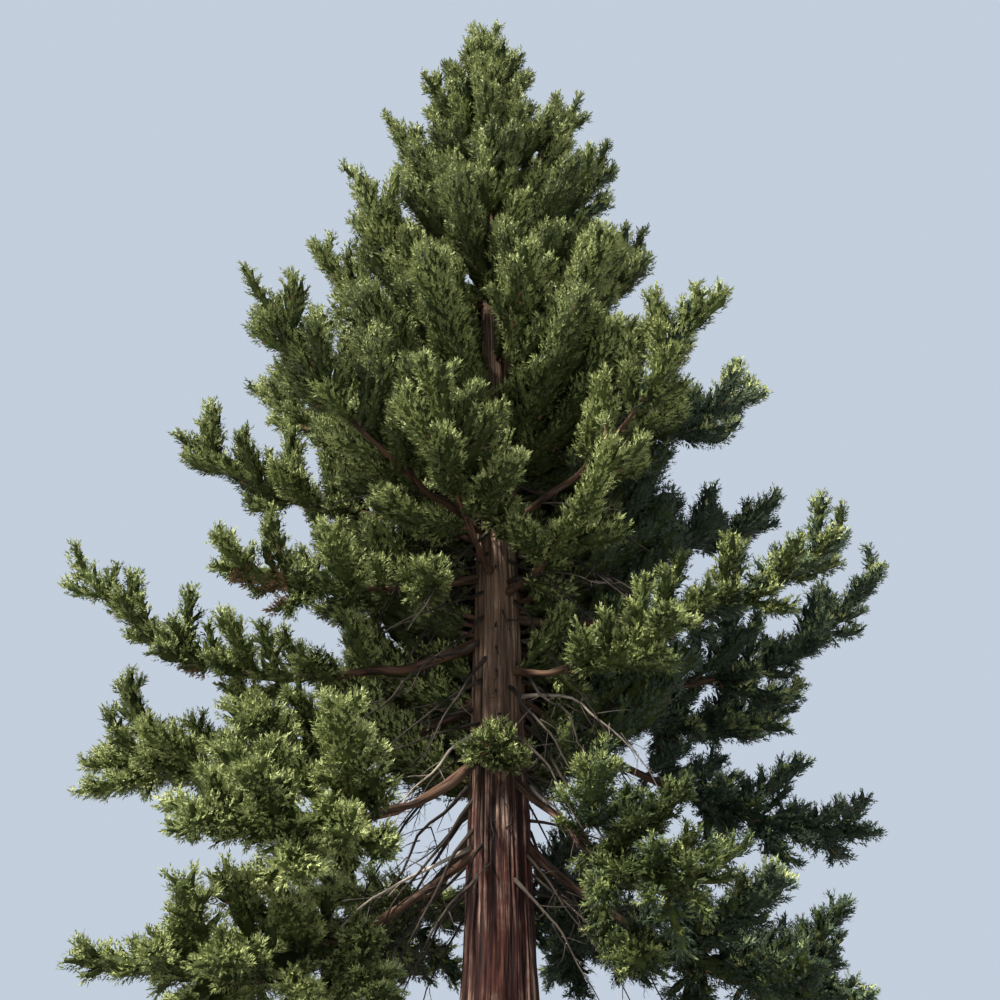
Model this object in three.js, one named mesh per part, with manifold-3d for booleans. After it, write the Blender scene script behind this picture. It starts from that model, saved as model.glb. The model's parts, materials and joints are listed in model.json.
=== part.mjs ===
// A giant sequoia, 38 m tall: one trunk, boughs that leave it in tiers, and masses of needle sprays at their ends.
// Millimetres, +Z up. The origin is the middle of the trunk's flat foot, on level ground.
// +X is the tree's right side as the photograph shows it, and -Y its front.

import * as THREE from "three";
import { mergeVertices } from "three/addons/utils/BufferGeometryUtils.js";
import Module from "manifold-3d";

const wasm = await Module();
wasm.setup();

// Driving dimensions
const METRE = 1000;
const TREE_HEIGHT = 38 * METRE;
const TRUNK_TIP = 33.4 * METRE; // the trunk ends where the leading mass of foliage starts
const TRUNK_WIDTH = 2.05 * METRE; // across the trunk near the ground, without its flare
const LEAN = -0.62 * METRE; // how far the top stands to the side
const FLARE = 0.6 * METRE; // added to the radius at the ground by the root flare
const FLARE_HEIGHT = 1.15 * METRE; // the flare falls off by e over this height
const BUTTRESSES = 6;
const BUTTRESS_DEPTH = 0.1; // share of the radius at the ground
const GAP = 0.3; // between pieces that touch
const SLIVER = 3; // edges and steps under this are taken out of fused foliage
const CLEAR = 50; // between the foliage of one mass and anything that isn't its own

// Seen from the eye in front of it, the trunk is bare between these heights, but for short tufts.
const EYE_AWAY = 28.75 * METRE; // from the trunk's axis
const EYE_HEIGHT = 1.6 * METRE;
const BARE_IN_FRONT = [[0, 15.2], [21.3, 23.7]];
const TUFT_REACH = 4;
const TUFTS_BELOW = 17;

// Limbs: radius at the trunk, and what is left of it where the foliage starts and at the stem's end
const LIMB_RADIUS = 55; // plus a share of the reach
const LIMB_SLENDER = 0.0085;
const BOUGH_END = 0.66;
const STEM_END = 0.3;
const WITHIN_TRUNK = 0.6; // no limb is thicker than this share of the trunk

const TRUNK_SIDES = 24;
const LIMB_SIDES = 5;
const BOUGH_STEPS = 3;
const STEM_STEPS = 1;

// Sprays: teeth stand out of a slim core in staggered rings, and lean forward
const TOOTH_OUT = 1.28; // reach of a tooth, as a share of the spray's radius
const TOOTH_IN = 0.78;
const TOOTH_LEAN = 0.4;
const SIDE_SPRAY = { sides: 4, rings: [[0.3, 0.88], [0.74, 1]] }; // place along it, and share of its radius
const END_SPRAY = { sides: 5, rings: [[0.16, 0.7], [0.5, 1], [0.84, 0.78]] };
const GOLDEN_TURN = 137.5;

const UP = new THREE.Vector3(0, 0, 1);
const radians = THREE.MathUtils.degToRad;

const trunkBark = new THREE.MeshStandardMaterial({ color: 0x7a4632, roughness: 0.92, metalness: 0 });
const boughBark = new THREE.MeshStandardMaterial({ color: 0x5d3a28, roughness: 0.9, metalness: 0 });

// Each mass has its own green, from olive to a cooler one.
function needles(seed) {
  const color = new THREE.Color().setHSL(0.2 + 0.08 * chance(seed, 3), 0.33, 0.24 + 0.07 * chance(seed, 4));
  return new THREE.MeshStandardMaterial({ color, roughness: 0.75, metalness: 0 });
}

// Boughs, in metres and degrees, from the lowest up on each side of the tree.
// leaves: height where it leaves the trunk. turn: 0 right, 90 back, 180 left, 270 front.
// reach: from the trunk's axis to its tip. belly and rise: its middle's and its tip's height over where it leaves.
// bare: the share of it that has no foliage. spread: its longest side spray.
const BOUGHS = [
  { name: "left_1", leaves: 6.8, turn: 212, reach: 8.4, belly: -4.0, rise: -3.2, bare: 0.34, spread: 4.1, sprays: 9 },
  { name: "left_2", leaves: 9.2, turn: 224, reach: 8.2, belly: -3.7, rise: -2.8, bare: 0.4, spread: 3.8, sprays: 9 },
  { name: "left_3", leaves: 10.6, turn: 176, reach: 10.8, belly: -3.1, rise: -1.2, bare: 0.26, spread: 4.1, sprays: 11 },
  { name: "left_4", leaves: 12.4, turn: 188, reach: 12.0, belly: -3.8, rise: 1.9, bare: 0.2, spread: 2.3, sprays: 12 },
  { name: "left_5", leaves: 14.3, turn: 204, reach: 7.8, belly: -1.7, rise: -1.0, bare: 0.2, spread: 2.8, sprays: 9 },
  { name: "left_6", leaves: 15.6, turn: 219, reach: 8.3, belly: 0.3, rise: 4.8, bare: 0.26, spread: 3.0, sprays: 10 },
  { name: "left_7", leaves: 16.8, turn: 184, reach: 9.3, belly: -2.0, rise: 1.8, bare: 0.26, spread: 2.5, sprays: 10 },
  { name: "right_1", leaves: 7.0, turn: 350, reach: 7.9, belly: -4.1, rise: -3.4, bare: 0.32, spread: 4.1, sprays: 9 },
  { name: "right_2", leaves: 10.8, turn: 4, reach: 9.9, belly: -3.6, rise: -3.6, bare: 0.3, spread: 2.8, sprays: 10 },
  { name: "right_3", leaves: 12.2, turn: 14, reach: 12.9, belly: -2.3, rise: 3.9, bare: 0.28, spread: 2.7, sprays: 10 },
  { name: "right_4", leaves: 13.0, turn: 342, reach: 9.8, belly: -1.5, rise: 1.3, bare: 0.28, spread: 2.5, sprays: 10 },
  { name: "right_5", leaves: 15.2, turn: 20, reach: 9.6, belly: 0.4, rise: 2.6, bare: 0.2, spread: 2.8, sprays: 10 },
  { name: "right_6", leaves: 16.0, turn: 319, reach: 7.4, belly: 0.6, rise: 4.7, bare: 0.28, spread: 2.7, sprays: 9 },
  { name: "right_7", leaves: 18.2, turn: 2, reach: 8.5, belly: 0.1, rise: 2.9, bare: 0.22, spread: 2.6, sprays: 9 },
  { name: "right_8", leaves: 11.3, turn: 30, reach: 10.6, belly: -1.1, rise: 0.7, bare: 0.3, spread: 3.2, sprays: 10 },
  { name: "front_1", leaves: 14.2, turn: 256, reach: 6.1, belly: 0.3, rise: 3.2, bare: 0.3, spread: 2.9, sprays: 9 },
  { name: "back_1", leaves: 8.0, turn: 128, reach: 9.2, belly: -4.0, rise: -3.2, bare: 0.28, spread: 4.0, sprays: 10 },
  { name: "back_2", leaves: 8.6, turn: 66, reach: 9.4, belly: -4.0, rise: -3.2, bare: 0.28, spread: 4.0, sprays: 10 },
  { name: "back_3", leaves: 12.8, turn: 102, reach: 10.0, belly: -1.4, rise: 1.6, bare: 0.22, spread: 4.0, sprays: 11 },
  { name: "front_low", leaves: 8.6, turn: 311, reach: 6.4, belly: -3.4, rise: -3.4, bare: 0.3, spread: 3.0, sprays: 8 },
];

// Foliage whose stem leaves the trunk with no bare bough, in the same terms.
const TOPS = [
  { name: "back_4", leaves: 17.0, turn: 76, reach: 8.8, belly: 0, rise: 3.2, bare: 0, spread: 3.6, sprays: 10 },
  { name: "front_right", leaves: 11.4, turn: 315, reach: 6.4, belly: -1.3, rise: 0, bare: 0, spread: 2.5, sprays: 7 },
  { name: "front_mid", leaves: 13.6, turn: 298, reach: 6.2, belly: 0.1, rise: 2.2, bare: 0, spread: 2.5, sprays: 7 },
  { name: "front_tuft", leaves: 15.8, turn: 268, reach: 3.8, belly: -0.2, rise: 0.6, bare: 0, spread: 2.0, sprays: 6 },
  { name: "trunk_tuft", leaves: 8.7, turn: 264, reach: 2.7, belly: 0.2, rise: 0.1, bare: 0, spread: 1.6, sprays: 6 },
  { name: "left_8", leaves: 18.8, turn: 160, reach: 9.0, belly: 0, rise: 4.4, bare: 0, spread: 2.5, sprays: 10 },
  { name: "upper_left", leaves: 21.6, turn: 178, reach: 6.1, belly: 0.8, rise: 5.4, bare: 0, spread: 2.5, sprays: 9 },
  { name: "upper_front_left", leaves: 22.8, turn: 212, reach: 5.3, belly: 0.9, rise: 4.8, bare: 0, spread: 2.3, sprays: 9 },
  { name: "upper_right", leaves: 21.8, turn: 10, reach: 5.2, belly: 0.9, rise: 5.8, bare: 0, spread: 2.8, sprays: 9 },
  { name: "upper_front", leaves: 19.2, turn: 284, reach: 4.4, belly: 0.8, rise: 4.2, bare: 0, spread: 2.7, sprays: 9 },
  { name: "upper_back_left", leaves: 23.0, turn: 116, reach: 5.4, belly: 0.8, rise: 4.4, bare: 0, spread: 3.1, sprays: 9 },
  { name: "upper_back_right", leaves: 22.2, turn: 58, reach: 5.6, belly: 0.8, rise: 4.4, bare: 0, spread: 3.1, sprays: 9 },
  { name: "top_left_1", leaves: 27.4, turn: 178, reach: 3.5, belly: 0.9, rise: 5.5, bare: 0, spread: 2.1, sprays: 8 },
  { name: "top_left_2", leaves: 30.8, turn: 210, reach: 2.5, belly: 0.7, rise: 3.1, bare: 0, spread: 1.7, sprays: 7 },
  { name: "top_front", leaves: 25.2, turn: 268, reach: 2.8, belly: 0.8, rise: 4.2, bare: 0, spread: 2.5, sprays: 8 },
  { name: "top_right_1", leaves: 26.4, turn: 350, reach: 4.0, belly: 0.8, rise: 3.7, bare: 0, spread: 2.5, sprays: 8 },
  { name: "top_right_2", leaves: 29.6, turn: 6, reach: 3.2, belly: 0.8, rise: 4.3, bare: 0, spread: 2.1, sprays: 8 },
  { name: "top_back", leaves: 27.4, turn: 92, reach: 3.4, belly: 0.8, rise: 4.4, bare: 0, spread: 2.6, sprays: 8 },
  { name: "leader", leaves: 33.4, turn: 180, reach: 0.08, belly: 2.2, rise: 4.2, bare: 0, spread: 1.6, sprays: 10 },
];

// The same number from 0 to 1 each time for the same pair of whole numbers.
function chance(seed, step) {
  const s = Math.sin(seed * 127.1 + step * 311.7) * 43758.5453;
  return s - Math.floor(s);
}

// The middle of the trunk at a height: it leans more the higher it gets.
function trunkAxis(z) {
  const share = z / TREE_HEIGHT;
  return new THREE.Vector3(LEAN * share * share, 0, z);
}

// The trunk tapers evenly towards the tree's top, and flares towards its foot.
function trunkRadius(z) {
  return (TRUNK_WIDTH / 2) * (1 - z / TREE_HEIGHT) + FLARE * Math.exp(-z / FLARE_HEIGHT);
}

// A closed surface through rings of equally many points, from a single point to a single point.
function skin(rings) {
  const places = rings.flat().flatMap((p) => [p.x, p.y, p.z]);
  const faces = [];
  let first = 0;
  for (let k = 0; k + 1 < rings.length; k++) {
    const [low, high] = [rings[k].length, rings[k + 1].length];
    const sides = Math.max(low, high);
    const after = first + low;
    for (let j = 0; j < sides; j++) {
      const next = (j + 1) % sides;
      if (low > 1) faces.push(first + j, first + next, after + (high > 1 ? next : 0));
      if (high > 1) faces.push(first + (low > 1 ? j : 0), after + next, after + j);
    }
    first = after;
  }
  const geometry = new THREE.BufferGeometry();
  geometry.setAttribute("position", new THREE.Float32BufferAttribute(places, 3));
  geometry.setIndex(faces);
  return geometry;
}

function solidOf(geometry) {
  return new wasm.Manifold(
    new wasm.Mesh({
      numProp: 3,
      vertProperties: geometry.attributes.position.array,
      triVerts: new Uint32Array(geometry.index.array),
    }),
  );
}

function geometryOf(solid) {
  const mesh = solid.getMesh();
  const geometry = new THREE.BufferGeometry();
  geometry.setAttribute("position", new THREE.BufferAttribute(mesh.vertProperties, 3));
  geometry.setIndex(new THREE.BufferAttribute(mesh.triVerts, 1));
  const merged = mergeVertices(geometry, 1e-3);
  merged.computeVertexNormals();
  return merged;
}

// Fusing can leave a crumb beside the piece: only the largest body stays.
function largest(solid) {
  return solid.decompose().reduce((best, body) => (body.volume() > best.volume() ? body : best));
}

// Directions across a line: to its side, and over it.
function across(tangent) {
  const side = new THREE.Vector3().crossVectors(UP, tangent);
  if (side.length() < 0.2) side.set(1, 0, 0).addScaledVector(tangent, -tangent.x);
  side.normalize();
  return { side, over: new THREE.Vector3().crossVectors(tangent, side).normalize() };
}

function ringAt(centre, tangent, radii, turn) {
  const { side, over } = across(tangent);
  return radii.map((radius, j) => {
    const angle = turn + (2 * Math.PI * j) / radii.length;
    return centre
      .clone()
      .addScaledVector(side, radius * Math.cos(angle))
      .addScaledVector(over, radius * Math.sin(angle));
  });
}

// A limb along part of a line, thinning evenly, with flat ends.
function limb(line, from, to, startRadius, endRadius, steps, ahead) {
  const rings = [];
  for (let k = 0; k <= steps; k++) {
    const t = from + ((to - from) * k) / steps;
    const radius = startRadius + ((endRadius - startRadius) * k) / steps;
    const centre = line.getPoint(t).addScaledVector(line.getTangent(t), ahead);
    rings.push(ringAt(centre, line.getTangent(t), new Array(LIMB_SIDES).fill(radius), 0));
    if (k === 0) rings.unshift([centre]);
    if (k === steps) rings.push([centre]);
  }
  return solidOf(skin(rings));
}

// A spray along part of a line: every other point of each ring is a tooth.
function spraySolid({ line, from, radius, profile }) {
  const rings = [[line.getPoint(from)]];
  profile.rings.forEach(([share, width], k) => {
    const t = from + (1 - from) * share;
    const tangent = line.getTangent(t);
    const toothed = Array.from({ length: profile.sides }, (_, j) => (j + k) % 2 === 0);
    const radii = toothed.map((tooth) => radius * width * (tooth ? TOOTH_OUT : TOOTH_IN));
    const ring = ringAt(line.getPoint(t), tangent, radii, 0.3 * k);
    ring.forEach((p, j) => toothed[j] && p.addScaledVector(tangent, TOOTH_LEAN * radius * width));
    rings.push(ring);
  });
  rings.push([line.getPoint(1)]);
  return solidOf(skin(rings));
}

// The trunk, from its flat foot to its flat tip; grown by a gap, it cuts what meets it.
function trunkSolid(grow) {
  const heights = [0, 0.3, 0.75, 1.4, 2.4, 4, 6.5, 10, 14, 18, 22, 26, 30].map((h) => h * METRE);
  const top = TRUNK_TIP + grow;
  const rings = [...heights, top].map((z) => {
    const flute = BUTTRESS_DEPTH * Math.exp(-z / FLARE_HEIGHT);
    return Array.from({ length: TRUNK_SIDES }, (_, j) => {
      const angle = (2 * Math.PI * j) / TRUNK_SIDES;
      const radius = (trunkRadius(z) + grow) * (1 + flute * Math.cos(BUTTRESSES * angle));
      return trunkAxis(z).add(new THREE.Vector3(radius * Math.cos(angle), radius * Math.sin(angle), 0));
    });
  });
  return solidOf(skin([[trunkAxis(0)], ...rings, [trunkAxis(top)]]));
}

const BELLY_SHARE = 0.6; // how far out a bough's middle lies
const SWING = 0.1; // how far its middle may swing sideways, as a share of the reach
const FROM_AXIS = 0.45; // where it starts, as a share of the trunk's radius

// The line of a bough and of the stem that goes on from it: one arc from inside the trunk to the tip.
function boughLine({ leaves, turn, reach, belly, rise }, seed) {
  const angle = radians(turn);
  const out = new THREE.Vector3(Math.cos(angle), Math.sin(angle), 0);
  const sideways = new THREE.Vector3(-out.y, out.x, 0);
  const foot = trunkAxis(leaves * METRE);
  const swing = (2 * chance(seed, 1) - 1) * SWING * reach;
  const onTop = leaves * METRE >= TRUNK_TIP;
  const start = foot.clone().addScaledVector(out, onTop ? 0 : FROM_AXIS * trunkRadius(leaves * METRE));
  const middle = foot
    .clone()
    .addScaledVector(out, BELLY_SHARE * reach * METRE)
    .addScaledVector(sideways, swing * METRE)
    .addScaledVector(UP, belly * METRE);
  const tip = foot.clone().addScaledVector(out, reach * METRE).addScaledVector(UP, rise * METRE);
  return new THREE.QuadraticBezierCurve3(start, middle, tip);
}

function limbRadius({ leaves, reach }) {
  return Math.min(LIMB_RADIUS + LIMB_SLENDER * reach * METRE, WITHIN_TRUNK * trunkRadius(leaves * METRE));
}

const FIRST_SPRAY = 0.08; // place of the first and of the last side spray along the stem
const LAST_SPRAY = 0.84;
const END_SPRAY_FROM = 0.12; // the spray along the stem itself is the mass's core
const END_SPRAY_RADIUS = 0.2; // as a share of the spread
const SIDE_SPRAY_RADIUS = 0.21; // as a share of its length
const SHORTENS = 0.5; // how much shorter the side sprays get towards the stem's end
const CURL = 0.3; // how far a side spray's tip turns up, as a share of its length
const UNDERSIDE = 0.6; // how far sprays that start downwards still hang
const LIFT = 0.22; // and how far all of them turn upwards
const FLAT_BELOW = 8; // boughs that leave the trunk lower than this, in metres, carry their sprays flat
const UPRIGHT_ABOVE = 17; // and those from here on carry them upright
const FLAT = 0.5; // what is left of a flat spray's slant
const STEM_TO = 0.4; // the stem is buried in its core from here on
const SCALES = [1, 0.84, 0.7, 0.56, 0.44]; // a spray that doesn't fit is tried shorter
const TURNS = [0, 48, -48, 96]; // and turned round the stem

// How upright a mass's sprays stand, from 0.2 on the lowest boughs to 1 on the upper ones.
function uprightness({ leaves }) {
  return THREE.MathUtils.clamp((leaves - FLAT_BELOW) / (UPRIGHT_ABOVE - FLAT_BELOW), 0.2, 1);
}

// One side spray: it leaves the stem at a golden turn from the one before, leans forward and curls up.
function sideSpray(row, line, seed, k, scale, turn) {
  const along = FIRST_SPRAY + ((LAST_SPRAY - FIRST_SPRAY) * k) / (row.sprays - 1);
  const t = row.bare + (1 - row.bare) * along;
  const base = line.getPoint(t);
  const tangent = line.getTangent(t);
  const { side, over } = across(tangent);
  const round = radians(GOLDEN_TURN * k + 360 * chance(seed, 2) + turn);
  const lean = radians(66 - 22 * along + 16 * (chance(seed, 20 + k) - 0.5));
  const out = side.multiplyScalar(Math.cos(round)).addScaledVector(over, Math.sin(round));
  const upright = uprightness(row);
  const slant = (out.z < 0 ? UNDERSIDE * out.z : out.z) * (FLAT + (1 - FLAT) * upright);
  out.setZ(slant + LIFT * upright).normalize();
  const aim = tangent.clone().multiplyScalar(Math.cos(lean)).addScaledVector(out, Math.sin(lean)).normalize();
  const length = scale * row.spread * METRE * (1 - SHORTENS * along) * (0.85 + 0.3 * chance(seed, 40 + k));
  const middle = base.clone().addScaledVector(aim, 0.55 * length);
  const tip = base.clone().addScaledVector(aim, 0.92 * length).addScaledVector(UP, CURL * upright * length);
  const curve = new THREE.QuadraticBezierCurve3(base, middle, tip);
  return { line: curve, from: 0, radius: SIDE_SPRAY_RADIUS * length, profile: SIDE_SPRAY };
}

function endSpray(row, line, scale) {
  const radius = scale * END_SPRAY_RADIUS * row.spread * METRE;
  return { line, from: row.bare + (1 - row.bare) * END_SPRAY_FROM, radius, profile: END_SPRAY };
}

const BALLS = 9; // a spray's space is told by this many balls along it

function sprayBalls({ line, from, radius }) {
  return Array.from({ length: BALLS }, (_, k) => {
    const share = (k + 0.5) / BALLS;
    const width = Math.min(1, 0.3 + 2.4 * share, 0.5 + 2.4 * (1 - share));
    return { at: line.getPoint(from + (1 - from) * share), radius: radius * TOOTH_OUT * width };
  });
}

function limbBalls(line, to, radius) {
  return Array.from({ length: 32 }, (_, k) => ({ at: line.getPoint((to * k) / 31), radius }));
}

// A spray fits where its balls stay clear of the trunk, the ground, and everything that isn't its own mass's.
function fits(balls, owner, taken) {
  return balls.every(({ at, radius }) => {
    if (at.z - radius < CLEAR) return false;
    const axis = trunkAxis(at.z);
    const beside = at.z < TRUNK_TIP + radius;
    if (beside && Math.hypot(at.x - axis.x, at.y) < trunkRadius(at.z) + radius + CLEAR) return false;
    return taken.every((other) => other.owner === owner || other.at.distanceTo(at) > other.radius + radius + CLEAR);
  });
}

function isTuft({ leaves, reach }) {
  return reach > 0 && reach < TUFT_REACH && leaves < TUFTS_BELOW;
}

// Whether a ball hides the trunk where it is bare: the line from the eye through it meets the trunk there.
function hidesTrunk({ at, radius }) {
  const onward = EYE_AWAY / (EYE_AWAY + at.y);
  const height = EYE_HEIGHT + (at.z - EYE_HEIGHT) * onward;
  const bare = BARE_IN_FRONT.some(([low, high]) => height > low * METRE && height < high * METRE);
  const beside = Math.abs(at.x * onward - trunkAxis(height).x) - trunkRadius(height);
  return at.y < 0 && bare && beside < 0.5 * radius;
}

// Places every spray in its mass: each is turned or gets shorter until it fits and hides no bare trunk, or is left out.
function grow(rows) {
  const taken = [];
  const masses = rows.map((row, i) => ({ row, seed: i + 1, line: boughLine(row, i + 1), sprays: [] }));
  for (const { row, line } of masses) {
    limbBalls(line, 1, limbRadius(row)).forEach((ball) => taken.push({ ...ball, owner: row.name }));
  }
  const place = (mass, spray, skipped) => {
    const balls = sprayBalls(spray);
    if (!fits(balls.slice(skipped), mass.row.name, taken)) return false;
    mass.sprays.push(spray);
    balls.forEach((ball) => taken.push({ ...ball, owner: mass.row.name }));
    return true;
  };
  for (const mass of masses) {
    SCALES.some((scale) => place(mass, endSpray(mass.row, mass.line, scale), mass.row.bare > 0 ? 0 : 1));
  }
  const rounds = Math.max(...rows.map((row) => row.sprays));
  for (let k = 0; k < rounds; k++) {
    for (const mass of masses) {
      const { row, line, seed } = mass;
      if (k >= row.sprays) continue;
      SCALES.some((scale) =>
        TURNS.some((turn) => {
          const spray = sideSpray(row, line, seed, k, scale, turn);
          return (isTuft(row) || !sprayBalls(spray).slice(2).some(hidesTrunk)) && place(mass, spray, 2);
        }),
      );
    }
  }
  return masses;
}

function piece(name, solid, material) {
  const mesh = new THREE.Mesh(geometryOf(solid), material);
  mesh.name = name;
  return mesh;
}

const tree = new THREE.Group();
tree.name = "giant_sequoia";
tree.add(piece("trunk", trunkSolid(0), trunkBark));
const trunkCut = trunkSolid(GAP);
const masses = grow([...BOUGHS, ...TOPS]);

for (const { row, seed, line, sprays } of masses) {
  const thick = limbRadius(row);
  const bareEnd = thick * (row.bare > 0 ? BOUGH_END : 1);
  if (row.bare > 0) {
    const bough = limb(line, 0, row.bare, thick, bareEnd, BOUGH_STEPS, 0).subtract(trunkCut);
    tree.add(piece(`bough_${row.name}`, largest(bough), boughBark));
  }
  const stemTo = row.bare + (1 - row.bare) * STEM_TO;
  const stem = limb(line, row.bare, stemTo, bareEnd, thick * STEM_END, STEM_STEPS, GAP);
  const fused = wasm.Manifold.union([stem, ...sprays.map(spraySolid)]).simplify(SLIVER);
  const mass = row.bare > 0 ? fused : fused.subtract(trunkCut);
  tree.add(piece(`foliage_${row.name}`, largest(mass), needles(seed)));
}

export default tree;
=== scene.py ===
import json
import math

import bpy
import numpy as np
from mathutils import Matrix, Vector

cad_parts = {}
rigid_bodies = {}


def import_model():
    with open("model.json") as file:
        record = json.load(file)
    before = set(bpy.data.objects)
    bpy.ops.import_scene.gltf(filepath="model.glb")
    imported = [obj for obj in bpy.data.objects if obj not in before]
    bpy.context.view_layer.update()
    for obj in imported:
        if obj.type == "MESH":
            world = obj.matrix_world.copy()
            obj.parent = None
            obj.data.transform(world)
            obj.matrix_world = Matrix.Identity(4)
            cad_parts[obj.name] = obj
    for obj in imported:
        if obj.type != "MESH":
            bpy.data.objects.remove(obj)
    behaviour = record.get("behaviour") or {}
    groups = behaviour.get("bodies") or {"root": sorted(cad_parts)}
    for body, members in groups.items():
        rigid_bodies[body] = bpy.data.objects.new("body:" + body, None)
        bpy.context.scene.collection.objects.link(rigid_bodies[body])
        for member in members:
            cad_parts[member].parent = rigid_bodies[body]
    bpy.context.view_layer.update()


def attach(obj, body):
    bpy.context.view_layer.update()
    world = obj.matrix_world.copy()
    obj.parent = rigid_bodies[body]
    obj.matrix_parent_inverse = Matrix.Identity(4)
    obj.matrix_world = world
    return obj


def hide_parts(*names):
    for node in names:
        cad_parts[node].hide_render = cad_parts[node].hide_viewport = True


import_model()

# Sizes in metres and angles in degrees, as the solids'. +X is the photograph's right, -Y the tree's front.
TREE_HEIGHT = 38.0
TRUNK_TIP = 33.4  # the trunk ends where the top mass starts
TRUNK_WIDTH = 2.05  # near the ground, without its flare
LEAN = -0.62  # how far the top stands to the side
FLARE = 0.6  # added to the radius at the ground
FLARE_HEIGHT = 1.15  # over which the flare falls off by e
BUTTRESSES = 6
BUTTRESS_DEPTH = 0.1  # share of the radius
CLEAR = 0.05  # between a mass's foliage and anything that isn't its own
LIMB_RADIUS = 0.055  # at the trunk, plus a share of the reach
LIMB_SLENDER = 0.0085
WITHIN_TRUNK = 0.6  # no limb is thicker than this share of the trunk

# The eye in front, and between which heights it sees bare trunk, but for tufts.
EYE_AWAY = 28.75
EYE_HEIGHT = 1.6
EYE_TILT = 28
EYE_FIELD = 50
BARE_IN_FRONT = ((0, 15.2), (21.3, 23.7))
HIDES_FROM = 0.5  # of its radius beside the trunk: there a ball of foliage starts to hide it
TUFT_REACH = 4  # masses that reach less are tufts
TUFTS_BELOW = 17  # under this height

# How the solids' sprays grow. Shares are of the stem, or of the spray's own length.
TOOTH_OUT = 1.28  # of its radius: what a spray's balls take up
GOLDEN_TURN = 137.5
GOLDEN_SECTION = 0.618
BELLY_SHARE = 0.6  # of the reach, to a bough's middle
SWING = 0.1  # of the reach: how far aside its middle swings at most
FROM_AXIS = 0.45  # of the trunk's radius, where a bough starts
FIRST_SPRAY = 0.08
LAST_SPRAY = 0.84
END_SPRAY_FROM = 0.12
END_SPRAY_RADIUS = 0.2  # of its mass's longest side spray
SIDE_SPRAY_RADIUS = 0.21  # of its length
SPRAY_LEAN = 66  # off the stem, at its first spray
SPRAY_RISES = 22  # less at its last
LEAN_VARIES = 16
SHORTENS = 0.5
SHORTEST = 0.85
LENGTH_VARIES = 0.3
CURL = 0.3
UNDERSIDE = 0.6
LIFT = 0.22
LINE_MIDDLE = 0.55
LINE_TIP = 0.92
STEEP = 0.2  # sideways share of a heading, under which it counts as straight up
FLAT_BELOW = 8
UPRIGHT_ABOVE = 17
LEAST_UPRIGHT = 0.2
FLAT = 0.5
SCALES = (1, 0.84, 0.7, 0.56, 0.44)
TURNS = (0, 48, -48, 96)
BALLS = 9
JOINED_BALLS = 2  # at a side spray's foot
LIMB_BALLS = 32
MOST_SPRAYS = 14  # in one mass
FOOT_WIDTH = 0.3
TIP_WIDTH = 0.5
WIDENS = 2.4
CHORDS = 8  # that an arc is measured by

# Which of its chance numbers decides what.
SWING_DRAW = 1
TURN_DRAW = 2
LEAN_DRAW = 20
LENGTH_DRAW = 40
TONE_DRAW = 5
DRY_DRAW = 9

UP = np.array([0.0, 0.0, 1.0])

# Boughs, from the lowest up on each side, then the foliage whose stem leaves the trunk with no bare bough.
# leaves: height on the trunk. turn: 0 right, 90 back, 180 left, 270 front.
# reach: from the trunk's axis to the tip. belly, rise: height of the middle and the tip over where it leaves.
# bare: share without foliage. spread: the longest side spray. sprays: how many side sprays it has at most.
FIELDS = ("name", "leaves", "turn", "reach", "belly", "rise", "bare", "spread", "sprays")
BOUGHS = (
    ("left_1", 6.8, 212, 8.4, -4.0, -3.2, 0.34, 4.1, 9),
    ("left_2", 9.2, 224, 8.2, -3.7, -2.8, 0.4, 3.8, 9),
    ("left_3", 10.6, 176, 10.8, -3.1, -1.2, 0.26, 4.1, 11),
    ("left_4", 12.4, 188, 12.0, -3.8, 1.9, 0.2, 2.3, 12),
    ("left_5", 14.3, 204, 7.8, -1.7, -1.0, 0.2, 2.8, 9),
    ("left_6", 15.6, 219, 8.3, 0.3, 4.8, 0.26, 3.0, 10),
    ("left_7", 16.8, 184, 9.3, -2.0, 1.8, 0.26, 2.5, 10),
    ("right_1", 7.0, 350, 7.9, -4.1, -3.4, 0.32, 4.1, 9),
    ("right_2", 10.8, 4, 9.9, -3.6, -3.6, 0.3, 2.8, 10),
    ("right_3", 12.2, 14, 12.9, -2.3, 3.9, 0.28, 2.7, 10),
    ("right_4", 13.0, 342, 9.8, -1.5, 1.3, 0.28, 2.5, 10),
    ("right_5", 15.2, 20, 9.6, 0.4, 2.6, 0.2, 2.8, 10),
    ("right_6", 16.0, 319, 7.4, 0.6, 4.7, 0.28, 2.7, 9),
    ("right_7", 18.2, 2, 8.5, 0.1, 2.9, 0.22, 2.6, 9),
    ("right_8", 11.3, 30, 10.6, -1.1, 0.7, 0.3, 3.2, 10),
    ("front_1", 14.2, 256, 6.1, 0.3, 3.2, 0.3, 2.9, 9),
    ("back_1", 8.0, 128, 9.2, -4.0, -3.2, 0.28, 4.0, 10),
    ("back_2", 8.6, 66, 9.4, -4.0, -3.2, 0.28, 4.0, 10),
    ("back_3", 12.8, 102, 10.0, -1.4, 1.6, 0.22, 4.0, 11),
    ("front_low", 8.6, 311, 6.4, -3.4, -3.4, 0.3, 3.0, 8),
)
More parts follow.
